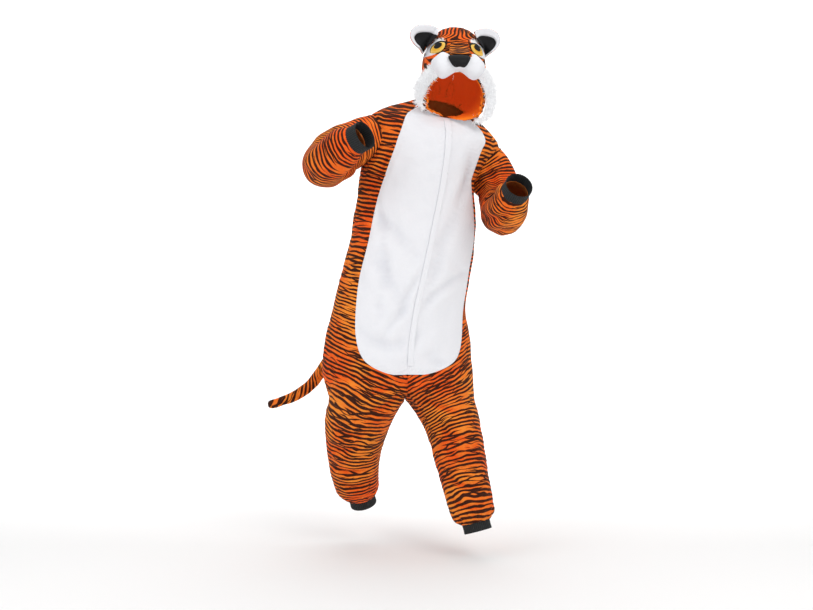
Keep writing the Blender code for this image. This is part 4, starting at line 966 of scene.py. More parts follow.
@dataclass
class StripedBody:
    """The fronts, the backs and the sleeves: striped plush over the trunk and the limbs."""

    front_cut: tuple = (0.45, 1.36)
    back_cut: tuple = (0.52, 1.38)
    sleeve_cut: tuple = (0.46, 0.58)
    hem_gather: float = 0.0032
    sleeve_stripes: float = 1.2
    sleeve_overlap: float = 0.0035

    def build(self, wardrobe: Wardrobe) -> None:
        """Makes every striped body piece."""
        for seed, (side, line) in enumerate(BODY_LINES.items()):
            for name, cut, first_seed in (("front_", self.front_cut, 10), ("back_", self.back_cut, 20)):
                panel = ClothPanel(name + side, Finish.TIGER, line, cut, "hood_side_" + side)
                panel.hem_gather = self.hem_gather
                panel.build(wardrobe, first_seed + seed)
        for seed, (side, line) in enumerate(SLEEVE_LINES.items()):
            sleeve = ClothPanel("sleeve_" + side, Finish.TIGER, line, self.sleeve_cut, "front_" + side)
            sleeve.stripe_count = self.sleeve_stripes
            sleeve.overlap = self.sleeve_overlap
            sleeve.build(wardrobe, 30 + seed)


@dataclass
class WhiteBelly:
    """The white belly panel in two halves, with the placket over its opening."""

    belly_cut: tuple = (0.24, 0.88)
    placket_cut: tuple = (0.018, 0.80)
    pucker: float = 0.0008
    seam_pull: float = 0.0012
    overlap: float = 0.0012
    look_from: float = 0.05
    placket_layers: tuple = (0.0002, 0.0010)
    stitch_rows: int = 90
    stitch_inset: float = 0.003
    stitch_length: float = 0.0042
    stitch_step: float = 0.0065
    stitch_radius: float = 0.00045

    def build(self, wardrobe: Wardrobe) -> None:
        """Makes the belly halves, the placket and its stitched edge."""
        for seed, (side, line) in enumerate(BODY_LINES.items()):
            panel = ClothPanel("belly_" + side, Finish.WHITE, line, self.belly_cut, "hood_side_" + side)
            panel.pucker = self.pucker
            panel.seam_pull = self.seam_pull
            panel.overlap = self.overlap
            panel.build(wardrobe, 40 + seed)
        strip = ClothPanel("front_placket", Finish.WHITE, BODY_LINES["left"], self.placket_cut, "belly_left")
        strip.seam_pull = 0.0
        strip.pucker = 0.0
        strip.build(wardrobe, 41)
        self.lift_placket(strip.piece)
        wardrobe.dress(self.stitches(strip.piece), Finish.WHITE)

    def lift_placket(self, strip: bpy.types.Object) -> None:
        """Keeps the placket just over the belly, which has folds of its own."""
        graph = bpy.context.evaluated_depsgraph_get()
        ground = BVHTree.FromObject(bpy.data.objects["belly_left_cloth"], graph)
        places = points_of(strip.data)
        under, over = self.placket_layers
        for i, place in enumerate(places):
            start = Vector(place) + Vector((0.0, -self.look_from, 0.0))
            hit = ground.ray_cast(start, Vector((0.0, 1.0, 0.0)))[0]
            if hit is None:
                continue
            layer = under if strip.data.vertices[i].normal.y > 0 else over
            places[i, 1] = min(place[1], hit.y - layer)
        move_points(strip.data, places)

    def stitches(self, strip: bpy.types.Object) -> bpy.types.Object:
        """The row of stitches near the placket's free edge.

        Args:
            strip: The placket.

        Returns:
            The stitches as one mesh.
        """
        places = points_of(strip.data)
        rows = np.linspace(places[:, 2].max() - 0.01, places[:, 2].min() + 0.01, self.stitch_rows)
        path = []
        for z in rows:
            near = places[np.abs(places[:, 2] - z) < 0.006]
            edge = near[near[:, 0].argmax()]
            path.append((edge[0] - self.stitch_inset, edge[1] - 0.0006, z))
        row = StitchRow(self.stitch_length, self.stitch_step, self.stitch_radius)
        return row.along("placket_stitches", path)


@dataclass(frozen=True)
class StitchRow:
    """A row of even stitches along a path, laid by Geometry Nodes."""

    length: float
    step: float
    radius: float

    @property
    def sizes(self) -> dict:
        """The stitches' sizes by the names of the tree's inputs."""
        return {"Length": self.length, "Step": self.step, "Radius": self.radius}

    def along(self, name: str, path: list) -> bpy.types.Object:
        """The stitches along a path, as a plain mesh.

        Args:
            name: The new object's name.
            path: The places that the row passes.

        Returns:
            The stitches.
        """
        curve = bpy.data.curves.new(name + "_path", "CURVE")
        curve.dimensions = "3D"
        spline = curve.splines.new("POLY")
        spline.points.add(len(path) - 1)
        for point, place in zip(spline.points, path):
            point.co = (*place, 1.0)
        guide = linked(name + "_path", curve)
        grown = grow(guide, self.tree(name), self.sizes, name)
        bpy.data.objects.remove(guide)
        return grown

    def tree(self, name: str) -> bpy.types.NodeTree:
        """The node tree that lays a small thread at every step."""
        build = Growth(name, self.sizes)
        steps = build.node("GeometryNodeResampleCurve", {"mode": "LENGTH"}, {
            "Curve": build.shape, "Length": build.inputs["Step"]})
        lay = build.node("GeometryNodeCurveToPoints", {"mode": "EVALUATED"}, {"Curve": steps.outputs[0]})
        thread = build.node("GeometryNodeMeshIcoSphere", {}, {"Radius": 1.0, "Subdivisions": 2})
        half = build.node("ShaderNodeMath", {"operation": "MULTIPLY"}, {0: build.inputs["Length"], 1: 0.5})
        size = build.node("ShaderNodeCombineXYZ", {}, {
            "X": build.inputs["Radius"], "Y": build.inputs["Radius"], "Z": half.outputs[0]})
        laid = build.node("GeometryNodeInstanceOnPoints", {}, {
            "Points": lay.outputs["Points"], "Instance": thread.outputs["Mesh"],
            "Rotation": lay.outputs["Rotation"], "Scale": size.outputs[0]})
        return build.closed(laid.outputs[0])


class Growth:
    """A Geometry Nodes tree with named inputs for its sizes."""

    def __init__(self, name: str, sizes: dict, material: bpy.types.Material = None) -> None:
        """Starts the tree.

        Args:
            name: The tree's name.
            sizes: Its inputs and what they are set to at first.
            material: The material that its result gets, if it is known already.
        """
        self.tree = bpy.data.node_groups.new(name + "_growth", "GeometryNodeTree")
        self.tree.interface.new_socket("Geometry", in_out="INPUT", socket_type="NodeSocketGeometry")
        self.tree.interface.new_socket("Geometry", in_out="OUTPUT", socket_type="NodeSocketGeometry")
        for size, value in sizes.items():
            kind = "NodeSocketInt" if isinstance(value, int) else "NodeSocketFloat"
            self.tree.interface.new_socket(size, in_out="INPUT", socket_type=kind).default_value = value
        self.start = self.tree.nodes.new("NodeGroupInput")
        self.shape = self.start.outputs["Geometry"]
        self.inputs = {size: self.start.outputs[size] for size in sizes}
        self.material = material

    def node(self, kind: str, settings: dict, inputs: dict) -> bpy.types.Node:
        """A node with settings, and with links or numbers on its sockets."""
        node = self.tree.nodes.new(kind)
        for name, value in settings.items():
            setattr(node, name, value)
        for key, value in inputs.items():
            if isinstance(value, bpy.types.NodeSocket):
                self.tree.links.new(value, node.inputs[key])
            else:
                node.inputs[key].default_value = value
        return node

    def closed(self, shape: bpy.types.NodeSocket) -> bpy.types.NodeTree:
        """The tree, ended in real geometry with its material."""
        real = self.node("GeometryNodeRealizeInstances", {}, {0: shape})
        painted = self.node("GeometryNodeSetMaterial", {}, {"Geometry": real.outputs[0]})
        if self.material:
            painted.inputs["Material"].default_value = self.material
        end = self.tree.nodes.new("NodeGroupOutput")
        self.tree.links.new(painted.outputs[0], end.inputs[0])
        return self.tree


def grow(base: bpy.types.Object, tree: bpy.types.NodeTree, sizes: dict, name: str) -> bpy.types.Object:
    """What a tree grows on a base, as a plain mesh of its own.

    Args:
        base: The object that the tree starts from.
        tree: The node tree.
        sizes: Its inputs by name.
        name: The new object's name.

    Returns:
        The grown object.
    """
    modifier = base.modifiers.new("growth", "NODES")
    modifier.node_group = tree
    for item in tree.interface.items_tree:
        if item.item_type == "SOCKET" and item.in_out == "INPUT" and item.name in sizes:
            modifier[item.identifier] = sizes[item.name]
    bpy.context.view_layer.update()
    mesh = bpy.data.meshes.new_from_object(base.evaluated_get(bpy.context.evaluated_depsgraph_get()))
    mesh.name = name
    base.modifiers.remove(modifier)
    shade_smooth(mesh)
    return linked(name, mesh)


@dataclass
class RibCuffs:
    """The black rib cuffs at the wrists and the ankles."""

    wales: int = 44
    points_a_wale: int = 5
    rows: int = 12
    wale_height: float = 0.0011
    wall: float = 0.0024
    lap: float = 0.0030
    wale_roundness: float = 0.7
    inside_wales: float = 0.4
    edge_round: float = 0.0010
    edge_share: float = 0.05
    pinch: float = 0.0010
    wrist_cut: tuple = (0.28, 0.038)
    ankle_cut: tuple = (0.29, 0.028)

    def build(self, wardrobe: Wardrobe) -> None:
        """Makes all the cuffs."""
        for side in SIDES:
            self.cuff("wrist_cuff_" + side, wardrobe)
            self.cuff("ankle_cuff_" + side, wardrobe)

    def cuff(self, node: str, wardrobe: Wardrobe) -> None:
        """One ribbed tube in its CAD wall's place.

        Args:
            node: The CAD node.
            wardrobe: The finishes.
        """
        places = points_of(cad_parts[node].data)
        middle = np.unique(places.round(6), axis=0).mean(axis=0)
        _, _, axes = np.linalg.svd(np.unique(places.round(6), axis=0) - middle, full_matrices=False)
        across, beside, along = axes
        reach = (places - middle) @ along
        radius = np.hypot((places - middle) @ across, (places - middle) @ beside).max()
        columns = self.wales * self.points_a_wale
        turn = np.linspace(0, 2 * np.pi, columns, endpoint=False)
        wale = (0.5 + 0.5 * np.cos(self.wales * turn)) ** self.wale_roundness
        sheets = []
        for wall, shares in ((0.0, np.linspace(0, 1, self.rows)), (self.wall, np.linspace(1, 0, self.rows))):
            for share in shares:
                edge = min(share, 1 - share)
                round_off = self.edge_round * math.exp(-(edge / self.edge_share) ** 2)
                pinch = self.pinch * math.sin(math.pi * share)
                ring = radius - wall - pinch - round_off * (1 if wall == 0 else -1)
                ring = ring - self.wale_height * (1 - wale) * (1 if wall == 0 else self.inside_wales)
                height = reach.min() - self.lap + (reach.max() - reach.min() + 2 * self.lap) * share
                circle = np.cos(turn)[:, None] * across + np.sin(turn)[:, None] * beside
                sheets.append(middle + along * height + circle * ring[:, None])
        count = len(sheets)
        faces = []
        for i in range(count):
            for j in range(columns):
                k = (j + 1) % columns
                a, b = i * columns + j, i * columns + k
                c, d = (i + 1) % count * columns + j, (i + 1) % count * columns + k
                faces.append((a, b, d, c))
        mesh = bpy.data.meshes.new(node + "_rib")
        mesh.from_pydata(np.concatenate(sheets).tolist(), [], faces)
        turned_outwards(mesh)
        carry(mesh, "wale", np.tile(wale, count))
        shade_smooth(mesh)
        piece = wardrobe.dress(linked(node + "_rib", mesh), Finish.RIB, node)


@dataclass
class Hood:
    """The striped hood with its pale and dark marks, and its orange lining."""

    side_cut: tuple = (0.28, 0.34)
    crown_cut: tuple = (0.09, 0.46)
    line: MiddleLine = MiddleLine(
        ((0.03, -0.03, 0.02), (0.0345, -0.045, 0.083), (0.0345, -0.045, 0.10)), 0.05)
    lining_seam_pull: float = 0.0030
    lining_overlap: float = 0.0030
    lining_neck_overlap: float = 0.0130

    def build(self, wardrobe: Wardrobe) -> None:
        """Makes the hood's outer pieces, each with its lining."""
        panels = (("side_right", "right", self.side_cut, "hood_crown"),
                  ("side_left", "left", self.side_cut, "hood_crown"),
                  ("crown", "crown", self.crown_cut, "nose_bridge"))
        for name, lining, cut, hangs_from in panels:
            outer = HoodPanel("hood_" + name, Finish.TIGER, self.line, cut, hangs_from)
            outer.build(wardrobe, 50)
            inner = HoodPanel("hood_lining_" + lining, Finish.LINING, self.line, cut, "hood_" + name)
            inner.seam_pull = self.lining_seam_pull
            inner.overlap = self.lining_overlap
            inner.neck_overlap = self.lining_neck_overlap
            inner.build(wardrobe, 52)


@dataclass
class HoodPanel(ClothPanel):
    """A piece of the hood, which carries the printed face's marks."""

    seam_pull: float = 0.0016
    pucker: float = 0.0005
    waver: float = 0.0006
    overlap: float = 0.0024
    neck_overlap: float = 0.0050
    side_slant: tuple = (0.55, 0.55, 0.5)
    over_start: float = 0.33
    over_turn: float = 0.13
    brow_start: float = 0.16
    brow_slant: tuple = (1.1, 0.25)
    crown_band: tuple = (0.06, 0.13)
    brow_ahead: tuple = (-0.01, 0.05)
    brow_up: tuple = (0.09, 0.125)
    bib_band: tuple = (-0.115, -0.095)
    dense_band: tuple = (0.03, 0.10)
    dense_share: float = 0.15
    edge_band: tuple = (0.006, 0.010)
    shade_depth_band: tuple = (0.030, 0.110)

    def carry_print(self, mesh: bpy.types.Mesh, places: np.ndarray, run: np.ndarray) -> None:
        """Stores the stripes' run, the pale patches, the dark marks, the lining's edge and how far each point
        lies from the fur, which the lining turns into painted shade.
        """
        local = to_head(places)
        x, ahead, up = local[:, 0], local[:, 1], local[:, 2]
        over = self.over_start - np.arctan2(up, ahead) * self.over_turn
        slant = np.abs(x) * self.side_slant[0] + up * self.side_slant[1] + ahead * self.side_slant[2]
        crown = smooth_step(up, *self.crown_band)
        brow = smooth_step(ahead, *self.brow_ahead) * smooth_step(up, *self.brow_up)
        run = slant * (1 - crown) + over * crown
        over_brow = self.brow_start + x * self.brow_slant[0] + ahead * self.brow_slant[1]
        run = run * (1 - brow) + over_brow * brow
        carry(mesh, "run", run)
        pale = np.zeros(len(places))
        marks = np.zeros(len(places))
        for patch in FACE_PATCHES:
            value = patch.value(np.abs(x), ahead, up)
            if patch.dark:
                marks = np.maximum(marks, value)
            else:
                pale = np.maximum(pale, value)
        carry(mesh, "pale", np.maximum(pale, (1 - smooth_step(up, *self.bib_band)) * (ahead > 0.0)))
        carry(mesh, "marks", marks)
        carry(mesh, "dense", smooth_step(up, *self.dense_band) * self.dense_share)
        away = away_from(search_tree(points_of(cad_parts["fur_trim"].data)), places)
        carry(mesh, "edge", 1 - smooth_step(away, *self.edge_band))
        # Painted shade: the lining darkens from lit orange to deep red the farther a point lies from the fur.
        carry(mesh, "depth", smooth_step(away, *self.shade_depth_band))


@dataclass(frozen=True)
class FacePatch:
    """A printed patch of the hood's face: an ellipse, turned and placed as seen from the front."""

    x: float
    up: float
    half_wide: float
    half_high: float
    turn: float
    dark: bool

    def value(self, x: np.ndarray, ahead: np.ndarray, up: np.ndarray) -> np.ndarray:
        """1 in the patch's middle, 0.5 on its edge and 0 well outside it, for each point."""
        turn = math.radians(self.turn)
        wide = (x - self.x) * math.cos(turn) + (up - self.up) * math.sin(turn)
        high = (up - self.up) * math.cos(turn) - (x - self.x) * math.sin(turn)
        away = np.hypot(wide / self.half_wide, high / self.half_high)
        return np.clip(1.0 - 0.5 * away, 0.0, 1.0) * (ahead > 0.0)


# Pale and dark patches of the printed face: over, beside and under each eye
FACE_PATCHES = (
    FacePatch(0.058, 0.104, 0.024, 0.011, 14, False),
    FacePatch(0.084, 0.076, 0.010, 0.022, 0, False),
    FacePatch(0.060, 0.113, 0.0065, 0.0042, 60, True),
    FacePatch(0.050, 0.107, 0.0060, 0.0030, 50, True),
    FacePatch(0.071, 0.108, 0.0060, 0.0030, 70, True),
    FacePatch(0.036, 0.094, 0.0042, 0.014, 10, True),
)


class Ground:
    """Surfaces that thin pieces are laid on, found by looking along the hood's forward axis."""

    def __init__(self, *names: str) -> None:
        """Keeps the named objects' surfaces."""
        graph = bpy.context.evaluated_depsgraph_get()
        self.trees = [BVHTree.FromObject(bpy.data.objects[name], graph) for name in names]
        self.across = Vector(HEAD_ACROSS)
        self.ahead = Vector(HEAD_AHEAD)

    def place(self, x: float, up: float) -> tuple:
        """The surface's place and normal at an offset across and up from the hood's middle.

        Args:
            x: Offset to the costume's left.
            up: Offset upwards.

        Returns:
            Place and unit normal.
        """
        start = Vector(HEAD_MIDDLE) + self.across * x + Vector((0.0, 0.0, up)) + self.ahead * 0.4
        hits = [tree.ray_cast(start, -self.ahead) for tree in self.trees]
        hits = [hit for hit in hits if hit[0] is not None]
        if not hits:
            return start - self.ahead * 0.33, self.ahead.copy()
        near = min(hits, key=lambda hit: hit[3])
        normal = near[1] if near[1].dot(self.ahead) > 0 else -near[1]
        return near[0], normal


@dataclass(frozen=True)
class EyeLayer:
    """One cut felt piece of an eye: an almond laid on the one below."""

    label: str
    finish: Finish
    half_long: float
    half_wide: float
    shift_out: float
    shift_up: float
    seat: float
    swell: float
    point: float
    nodes: tuple = ()


EYE_LAYERS = (
    EyeLayer("surround", Finish.WHITE, 0.0320, 0.0190, 0.011, 0.001, 0.0004, 0.0016, 1.2, ("eye_surround_",)),
    EyeLayer("outline", Finish.BLACK, 0.0275, 0.0176, 0.000, 0.002, 0.0016, 0.0012, 1.35),
    EyeLayer("iris", Finish.AMBER, 0.0240, 0.0146, 0.000, -0.001, 0.0026, 0.0030, 1.35, ("eye_iris_",)),
    EyeLayer("pupil", Finish.BLACK, 0.0130, 0.0092, -0.001, 0.004, 0.0046, 0.0016, 1.2, ("eye_pupil_",)),
)


@dataclass
class Eyes:
    """The felt eyes, slanted down and outwards."""

    x: float = 0.060
    up: float = 0.078
    slant: float = math.radians(33.0)
    lower: dict = field(default_factory=lambda: {"right": 0.0, "left": 0.006})
    rings: int = 9
    columns: int = 56
    layers: tuple = EYE_LAYERS

    def build(self, wardrobe: Wardrobe) -> None:
        """Makes both eyes."""
        ground = Ground("hood_side_right_cloth", "hood_side_left_cloth", "hood_crown_cloth")
        for side, sign in SIDES.items():
            for layer in self.layers:
                piece = self.layer_piece(layer, side, sign, ground)
                wardrobe.dress(piece, layer.finish, *(node + side for node in layer.nodes))

    def layer_piece(self, layer: EyeLayer, side: str, sign: float, ground: Ground) -> bpy.types.Object:
        """One closed, slightly swollen almond.

        Args:
            layer: The layer's sizes.
            side: The costume's side, right or left.
            sign: -1 on the right and 1 on the left.
            ground: The hood's surface.

        Returns:
            The piece, without its finish.
        """
        form = bmesh.new()
        share_of = form.verts.layers.float.new("share")
        sheets = []
        for lower in (False, True):
            middle = None
            rows = []
            for i in range(self.rings + 1):
                share = i / self.rings
                row = []
                for j in range(1 if i == 0 else self.columns):
                    turn = 2 * math.pi * j / self.columns
                    long = math.cos(turn) * share * layer.half_long
                    almond = math.copysign(abs(math.sin(turn)) ** layer.point, math.sin(turn))
                    wide = almond * share * layer.half_wide
                    out = layer.shift_out + long * math.cos(self.slant) + wide * math.sin(self.slant)
                    rise = layer.shift_up - long * math.sin(self.slant) + wide * math.cos(self.slant)
                    place, normal = ground.place(sign * (self.x + out), self.up + rise - self.lower[side])
                    lift = -0.0006 if lower else layer.seat + layer.swell * (1 - share ** 5) ** 0.5
                    corner = form.verts.new(place + normal * lift)
                    corner[share_of] = share
                    row.append(corner)
                rows.append(row)
            sheets.append(rows)
        for rows in sheets:
            for i in range(self.rings):
                for j in range(self.columns):
                    k = (j + 1) % self.columns
                    if i == 0:
                        form.faces.new((rows[0][0], rows[1][j], rows[1][k]))
                    else:
                        form.faces.new((rows[i][j], rows[i + 1][j], rows[i + 1][k], rows[i][k]))
        top, low = sheets[0][-1], sheets[1][-1]
        for j in range(self.columns):
            k = (j + 1) % self.columns
            form.faces.new((top[j], top[k], low[k], low[j]))
        bmesh.ops.recalc_face_normals(form, faces=form.faces)
        mesh = bpy.data.meshes.new("eye_" + layer.label + "_" + side)
        form.to_mesh(mesh)
        form.free()
        shade_smooth(mesh)
        return linked("eye_" + layer.label + "_felt_" + side, mesh)


def closed_sheet(name: str, front: np.ndarray, back: np.ndarray) -> bpy.types.Object:
    """A closed, smooth piece between two grids of points.

    Args:
        name: The new object's name.
        front: Points of the front, by row and column.
        back: Points of the back, laid in the same way.

    Returns:
        The piece.
    """
    rows, columns = front.shape[:2]
    count = rows * columns
    faces = []
    for i in range(rows - 1):
        for j in range(columns - 1):
            a, b = i * columns + j, (i + 1) * columns + j
            faces.append((a, b, b + 1, a + 1))
            faces.append((a + count, a + 1 + count, b + 1 + count, b + count))
    border = [j for j in range(columns)] + [i * columns + columns - 1 for i in range(1, rows)]
    border += [(rows - 1) * columns + j for j in range(columns - 2, -1, -1)]
    border += [i * columns for i in range(rows - 2, 0, -1)]
    for start, end in zip(border, border[1:] + border[:1]):
        faces.append((start, end, end + count, start + count))
    mesh = bpy.data.meshes.new(name)
    mesh.from_pydata(np.concatenate([front.reshape(-1, 3), back.reshape(-1, 3)]).tolist(), [], faces)
    form = bmesh.new()
    form.from_mesh(mesh)
    bmesh.ops.remove_doubles(form, verts=form.verts, dist=1e-5)
    bmesh.ops.dissolve_degenerate(form, edges=form.edges, dist=1e-6)
    bmesh.ops.recalc_face_normals(form, faces=form.faces)
    form.to_mesh(mesh)
    form.free()
    shade_smooth(mesh)
    return linked(name, mesh)


def resampled(outline: tuple, count: int) -> np.ndarray:
    """Evenly laid points on a smooth line through an outline's points."""
    corners = np.array(outline)
    ends = np.vstack([2 * corners[0] - corners[1], corners, 2 * corners[-1] - corners[-2]])
    line = []
    for i in range(len(corners) - 1):
        a, b, c, d = ends[i:i + 4]
        for t in np.linspace(0.0, 1.0, 8, endpoint=False):
            line.append(0.5 * (2 * b + (c - a) * t + (2 * a - 5 * b + 4 * c - d) * t ** 2
                               + (3 * b - a - 3 * c + d) * t ** 3))
    line = np.array(line + [corners[-1]])
    away = np.concatenate([[0.0], np.cumsum(np.linalg.norm(np.diff(line, axis=0), axis=1))])
    along = np.linspace(0.0, away[-1], count)
    return np.stack([np.interp(along, away, line[:, i]) for i in range(line.shape[1])], axis=-1)


@dataclass
class Ears:
    """Leaf-shaped ears sewn to the hood's sides: striped backs, white plush rims, black insides."""

    middle: tuple = (0.103, 0.116)
    lower_left: float = 0.008
    forward: float = 0.046
    turn: dict = field(default_factory=lambda: {"right": math.radians(8.0), "left": math.radians(24.0)})
    cup: float = 0.012
    reach: float = 0.040
    wall: float = 0.0045
    back_settle: float = 0.0065
    settle_power: float = 1.2
    swell: float = 0.0075
    rim_lift: tuple = (0.0003, 0.0012)
    inside_lift: tuple = (0.0003, 0.0030)
    rim_inset: float = 0.985
    scale: float = 1.07
    back_scale: float = 1.025
    hood_half_wide: float = 0.1035
    hood_half_high: float = 0.163
    hood_depth: float = 0.120
    hood_power: float = 2.5
    hood_roundness: float = 0.4
    root_gap: float = 0.012
    least_gap: float = 0.007
    free_from: float = 0.022
    stripe_run: tuple = (0.9, 0.3)
    columns: int = 72
    rows: int = 14
    outer: tuple = ((-0.044, 0.023), (-0.028, 0.0315), (-0.009, 0.037), (0.012, 0.0365), (0.028, 0.0295),
                    (0.037, 0.017), (0.039, 0.004), (0.031, -0.012), (0.0175, -0.026), (-0.003, -0.0385))
    inner: tuple = ((-0.042, 0.002), (-0.031, 0.0125), (-0.018, 0.0175), (0.003, 0.0185), (0.018, 0.0150),
                    (0.026, 0.008), (0.0285, -0.001), (0.023, -0.014), (0.011, -0.0270), (-0.006, -0.0375))

    def build(self, wardrobe: Wardrobe) -> None:
        """Makes both ears."""
        outer = resampled(self.outer, self.columns) * self.scale
        inner = resampled(self.inner, self.columns)
        root = np.linspace(inner[0], inner[-1], self.columns)
        share = np.linspace(0.0, 1.0, self.rows)[:, None, None]
        black = root[None] + (inner - root)[None] * share
        rim = inner[None] * self.rim_inset + (outer - inner * self.rim_inset)[None] * share
        chord = np.linspace(outer[0], outer[-1], self.columns)
        whole = (chord[None] * (1 - share) + outer[None] * share) * self.back_scale
        swell = self.swell * (1 - (2 * share[..., 0] - 1) ** 4) ** 0.5 * np.ones((1, self.columns))
        flat = np.zeros((self.rows, self.columns))
        settled = -self.back_settle * (1 - share[..., 0]) ** self.settle_power * np.ones((1, self.columns))
        parts = (("back", Finish.TIGER, whole, settled - self.wall, settled),
                 ("rim", Finish.WHITE, rim, flat + self.rim_lift[0], flat + self.rim_lift[1] + swell),
                 ("inner", Finish.BLACK, black, flat + self.inside_lift[0], flat + self.inside_lift[1]))
        for side in SIDES:
            for part, finish, plan, low, high in parts:
                piece = closed_sheet("ear_" + part + "_plush_" + side, self.laid(plan, high, side),
                                     self.laid(plan, low, side))
                places = points_of(piece.data)
                run = places[:, 0] * self.stripe_run[0] + places[:, 2] * self.stripe_run[1]
                carry(piece.data, "run", run)
                carry_none(piece.data, "pale", "marks", "dense")
                wardrobe.dress(piece, finish, "ear_" + part + "_" + side)

    def laid(self, plan: np.ndarray, lift: np.ndarray, side: str) -> np.ndarray:
        """The plan's points in the world, cupped forwards and bent to the hood at the root.

        Args:
            plan: Offsets outwards and up from the ear's middle.
            lift: How far each point is lifted forwards.
            side: The costume's side, right or left.

        Returns:
            World points, laid as the plan is.
        """
        out, rise = plan[..., 0], plan[..., 1]
        sign, turn = SIDES[side], self.turn[side]
        up = self.middle[1] + rise - (self.lower_left if side == "left" else 0.0)
        across = self.middle[0] + out
        away = np.hypot(out, rise + 0.002)
        plane = self.forward - out * math.tan(turn) + self.cup * (away / self.reach) ** 2
        beside = np.abs(across / self.hood_half_wide) ** self.hood_power
        filled = 1 - beside - np.abs(up / self.hood_half_high) ** self.hood_power
        hood = self.hood_depth * np.clip(filled, 0.0, 1.0) ** self.hood_roundness
        first, last = np.array(self.inner[0]), np.array(self.inner[-1])
        along = (last - first) / np.linalg.norm(last - first)
        from_root = (out - first[0]) * -along[1] + (rise - first[1]) * along[0]
        free = smooth_step(from_root, 0.000, self.free_from)
        ahead = plane * free + np.minimum(hood + self.root_gap, plane + self.root_gap) * (1 - free)
        ahead = np.maximum(ahead, hood + self.least_gap) + lift
        return from_head(sign * across, ahead, up)


@dataclass
class Snout:
    """The padded muzzle with the nose and the striped bridge."""

    levels: int = 3
    bridge_pitch: float = 0.0098
    bridge_curve: float = 0.0028
    bridge_waves: float = 75.0
    rounding: int = 10
    half_wide: float = 0.084
    aside: float = -0.006
    end_drop: float = 0.034
    end_forward: float = 0.012
    lobe_spread: float = 0.30
    lobe_band: tuple = (0.020, 0.050)
    arch_fill: float = 0.011
    arch_width: float = 0.020
    top_dip: float = 0.012
    dip_width: float = 0.028
    top_rise: float = 0.011
    rise_place: float = 0.050
    rise_width: float = 0.018
    nose_half_wide: float = 0.037
    nose_width: float = 0.94
    nose_aside: float = 1.6
    nose_forward: float = 0.002
    nose_corner: float = 0.008
    nose_tip: float = 0.018
    nose_level: float = 0.011
    nose_top_drop: float = 0.30
    bridge_drop: float = 0.021
    bridge_reach: float = 0.062
    bridge_length: float = 0.030
    bridge_width: tuple = (0.96, 0.08)
    bridge_aside: float = 0.8
    bridge_dense: float = 0.35

    def build(self, wardrobe: Wardrobe) -> None:
        """Makes the three padded pieces."""
        shapes = (("muzzle", Finish.WHITE, self.muzzle_form), ("nose", Finish.BLACK, self.nose_form),
                  ("nose_bridge", Finish.TIGER, self.bridge_form))
        for node, finish, form in shapes:
            piece, _ = FineCopy(self.levels, rim_crease=0.0).of(node, node + "_padded")
            self.round_off(piece.data)
            across, ahead, up = to_head(points_of(piece.data)).T
            places = from_head(*form(across, ahead, up))
            move_points(piece.data, places)
            curved = places[:, 2] + self.bridge_curve * np.cos(across * self.bridge_waves)
            carry(piece.data, "run", curved * Stripes().pitch / self.bridge_pitch)
            carry_none(piece.data, "pale", "marks")
            carry(piece.data, "dense", np.full(len(places), self.bridge_dense))
            wardrobe.dress(piece, finish, node)

    def muzzle_form(self, across: np.ndarray, ahead: np.ndarray, up: np.ndarray) -> tuple:
        """The muzzle with its lobes spread, its ends hanging over the fur and a shallow arch."""
        share = np.clip(np.abs(across) / self.half_wide, 0.0, 1.0)
        high = smooth_step(up, *self.lobe_band)
        low = 1 - high
        spread = across * (1 + self.lobe_spread * (1 - share ** 2) * low)
        arch = self.arch_fill * np.exp(-(across / self.arch_width) ** 2) * low
        arch += high * self.top_dip * np.exp(-(across / self.dip_width) ** 2)
        arch -= high * self.top_rise * np.exp(-((np.abs(across) - self.rise_place) / self.rise_width) ** 2)
        dropped = up - self.end_drop * share ** 3 - arch
        return spread + self.aside, ahead + self.end_forward * share ** 2, dropped

    def nose_form(self, across: np.ndarray, ahead: np.ndarray, up: np.ndarray) -> tuple:
        """The nose as a wide, flat-topped pad, rounded below."""
        share = np.clip(np.abs(across) / self.nose_half_wide, 0.0, 1.2)
        levelled = up + self.nose_level * share ** 2
        bottom = levelled.min()
        low = 1 - (levelled - bottom) / (levelled.max() - bottom)
        tip = np.cos(np.minimum(share, 1.0) * np.pi / 2)
        rounded = low * (self.nose_corner * share ** 2 - self.nose_tip * tip)
        return (across * self.nose_width + self.aside * self.nose_aside, ahead + self.nose_forward,
                bottom + (levelled - bottom) * (1 - self.nose_top_drop) + rounded)

    def bridge_form(self, across: np.ndarray, ahead: np.ndarray, up: np.ndarray) -> tuple:
        """The bridge drawn down to the nose's top edge."""
        top = up.max()
        low = smooth_step(top - up, 0.0, self.bridge_length)
        least, growth = self.bridge_width
        widened = across * (least + growth * low) + self.aside * self.bridge_aside * low
        return widened, ahead + self.bridge_reach * low ** 2, up - self.bridge_drop * low

    def round_off(self, mesh: bpy.types.Mesh) -> None:
        """Softens the form's corners, as a filling does."""
        form = bmesh.new()
        form.from_mesh(mesh)
        for _ in range(self.rounding):
            bmesh.ops.smooth_vert(form, verts=form.verts, factor=0.5, use_axis_x=True, use_axis_y=True,
                                  use_axis_z=True)
        form.to_mesh(mesh)
        form.free()


@dataclass
class Tail:
    """The stuffed, striped tail."""

    levels: int = 3
    dent: float = 0.0022

    def build(self, wardrobe: Wardrobe) -> None:
        """Makes the tail."""
        piece, _ = FineCopy(self.levels, rim_crease=0.0).of("tail", "tail_plush")
        places = points_of(piece.data)
        run, out = TAIL_LINE.measure(places)
        lift = self.dent * unevenness(places, 60)
        places = places + out * lift[:, None]
        move_points(piece.data, places)
        carry(piece.data, "run", run)
        carry_none(piece.data, "pale", "marks", "dense")
        wardrobe.dress(piece, Finish.TIGER, "tail")


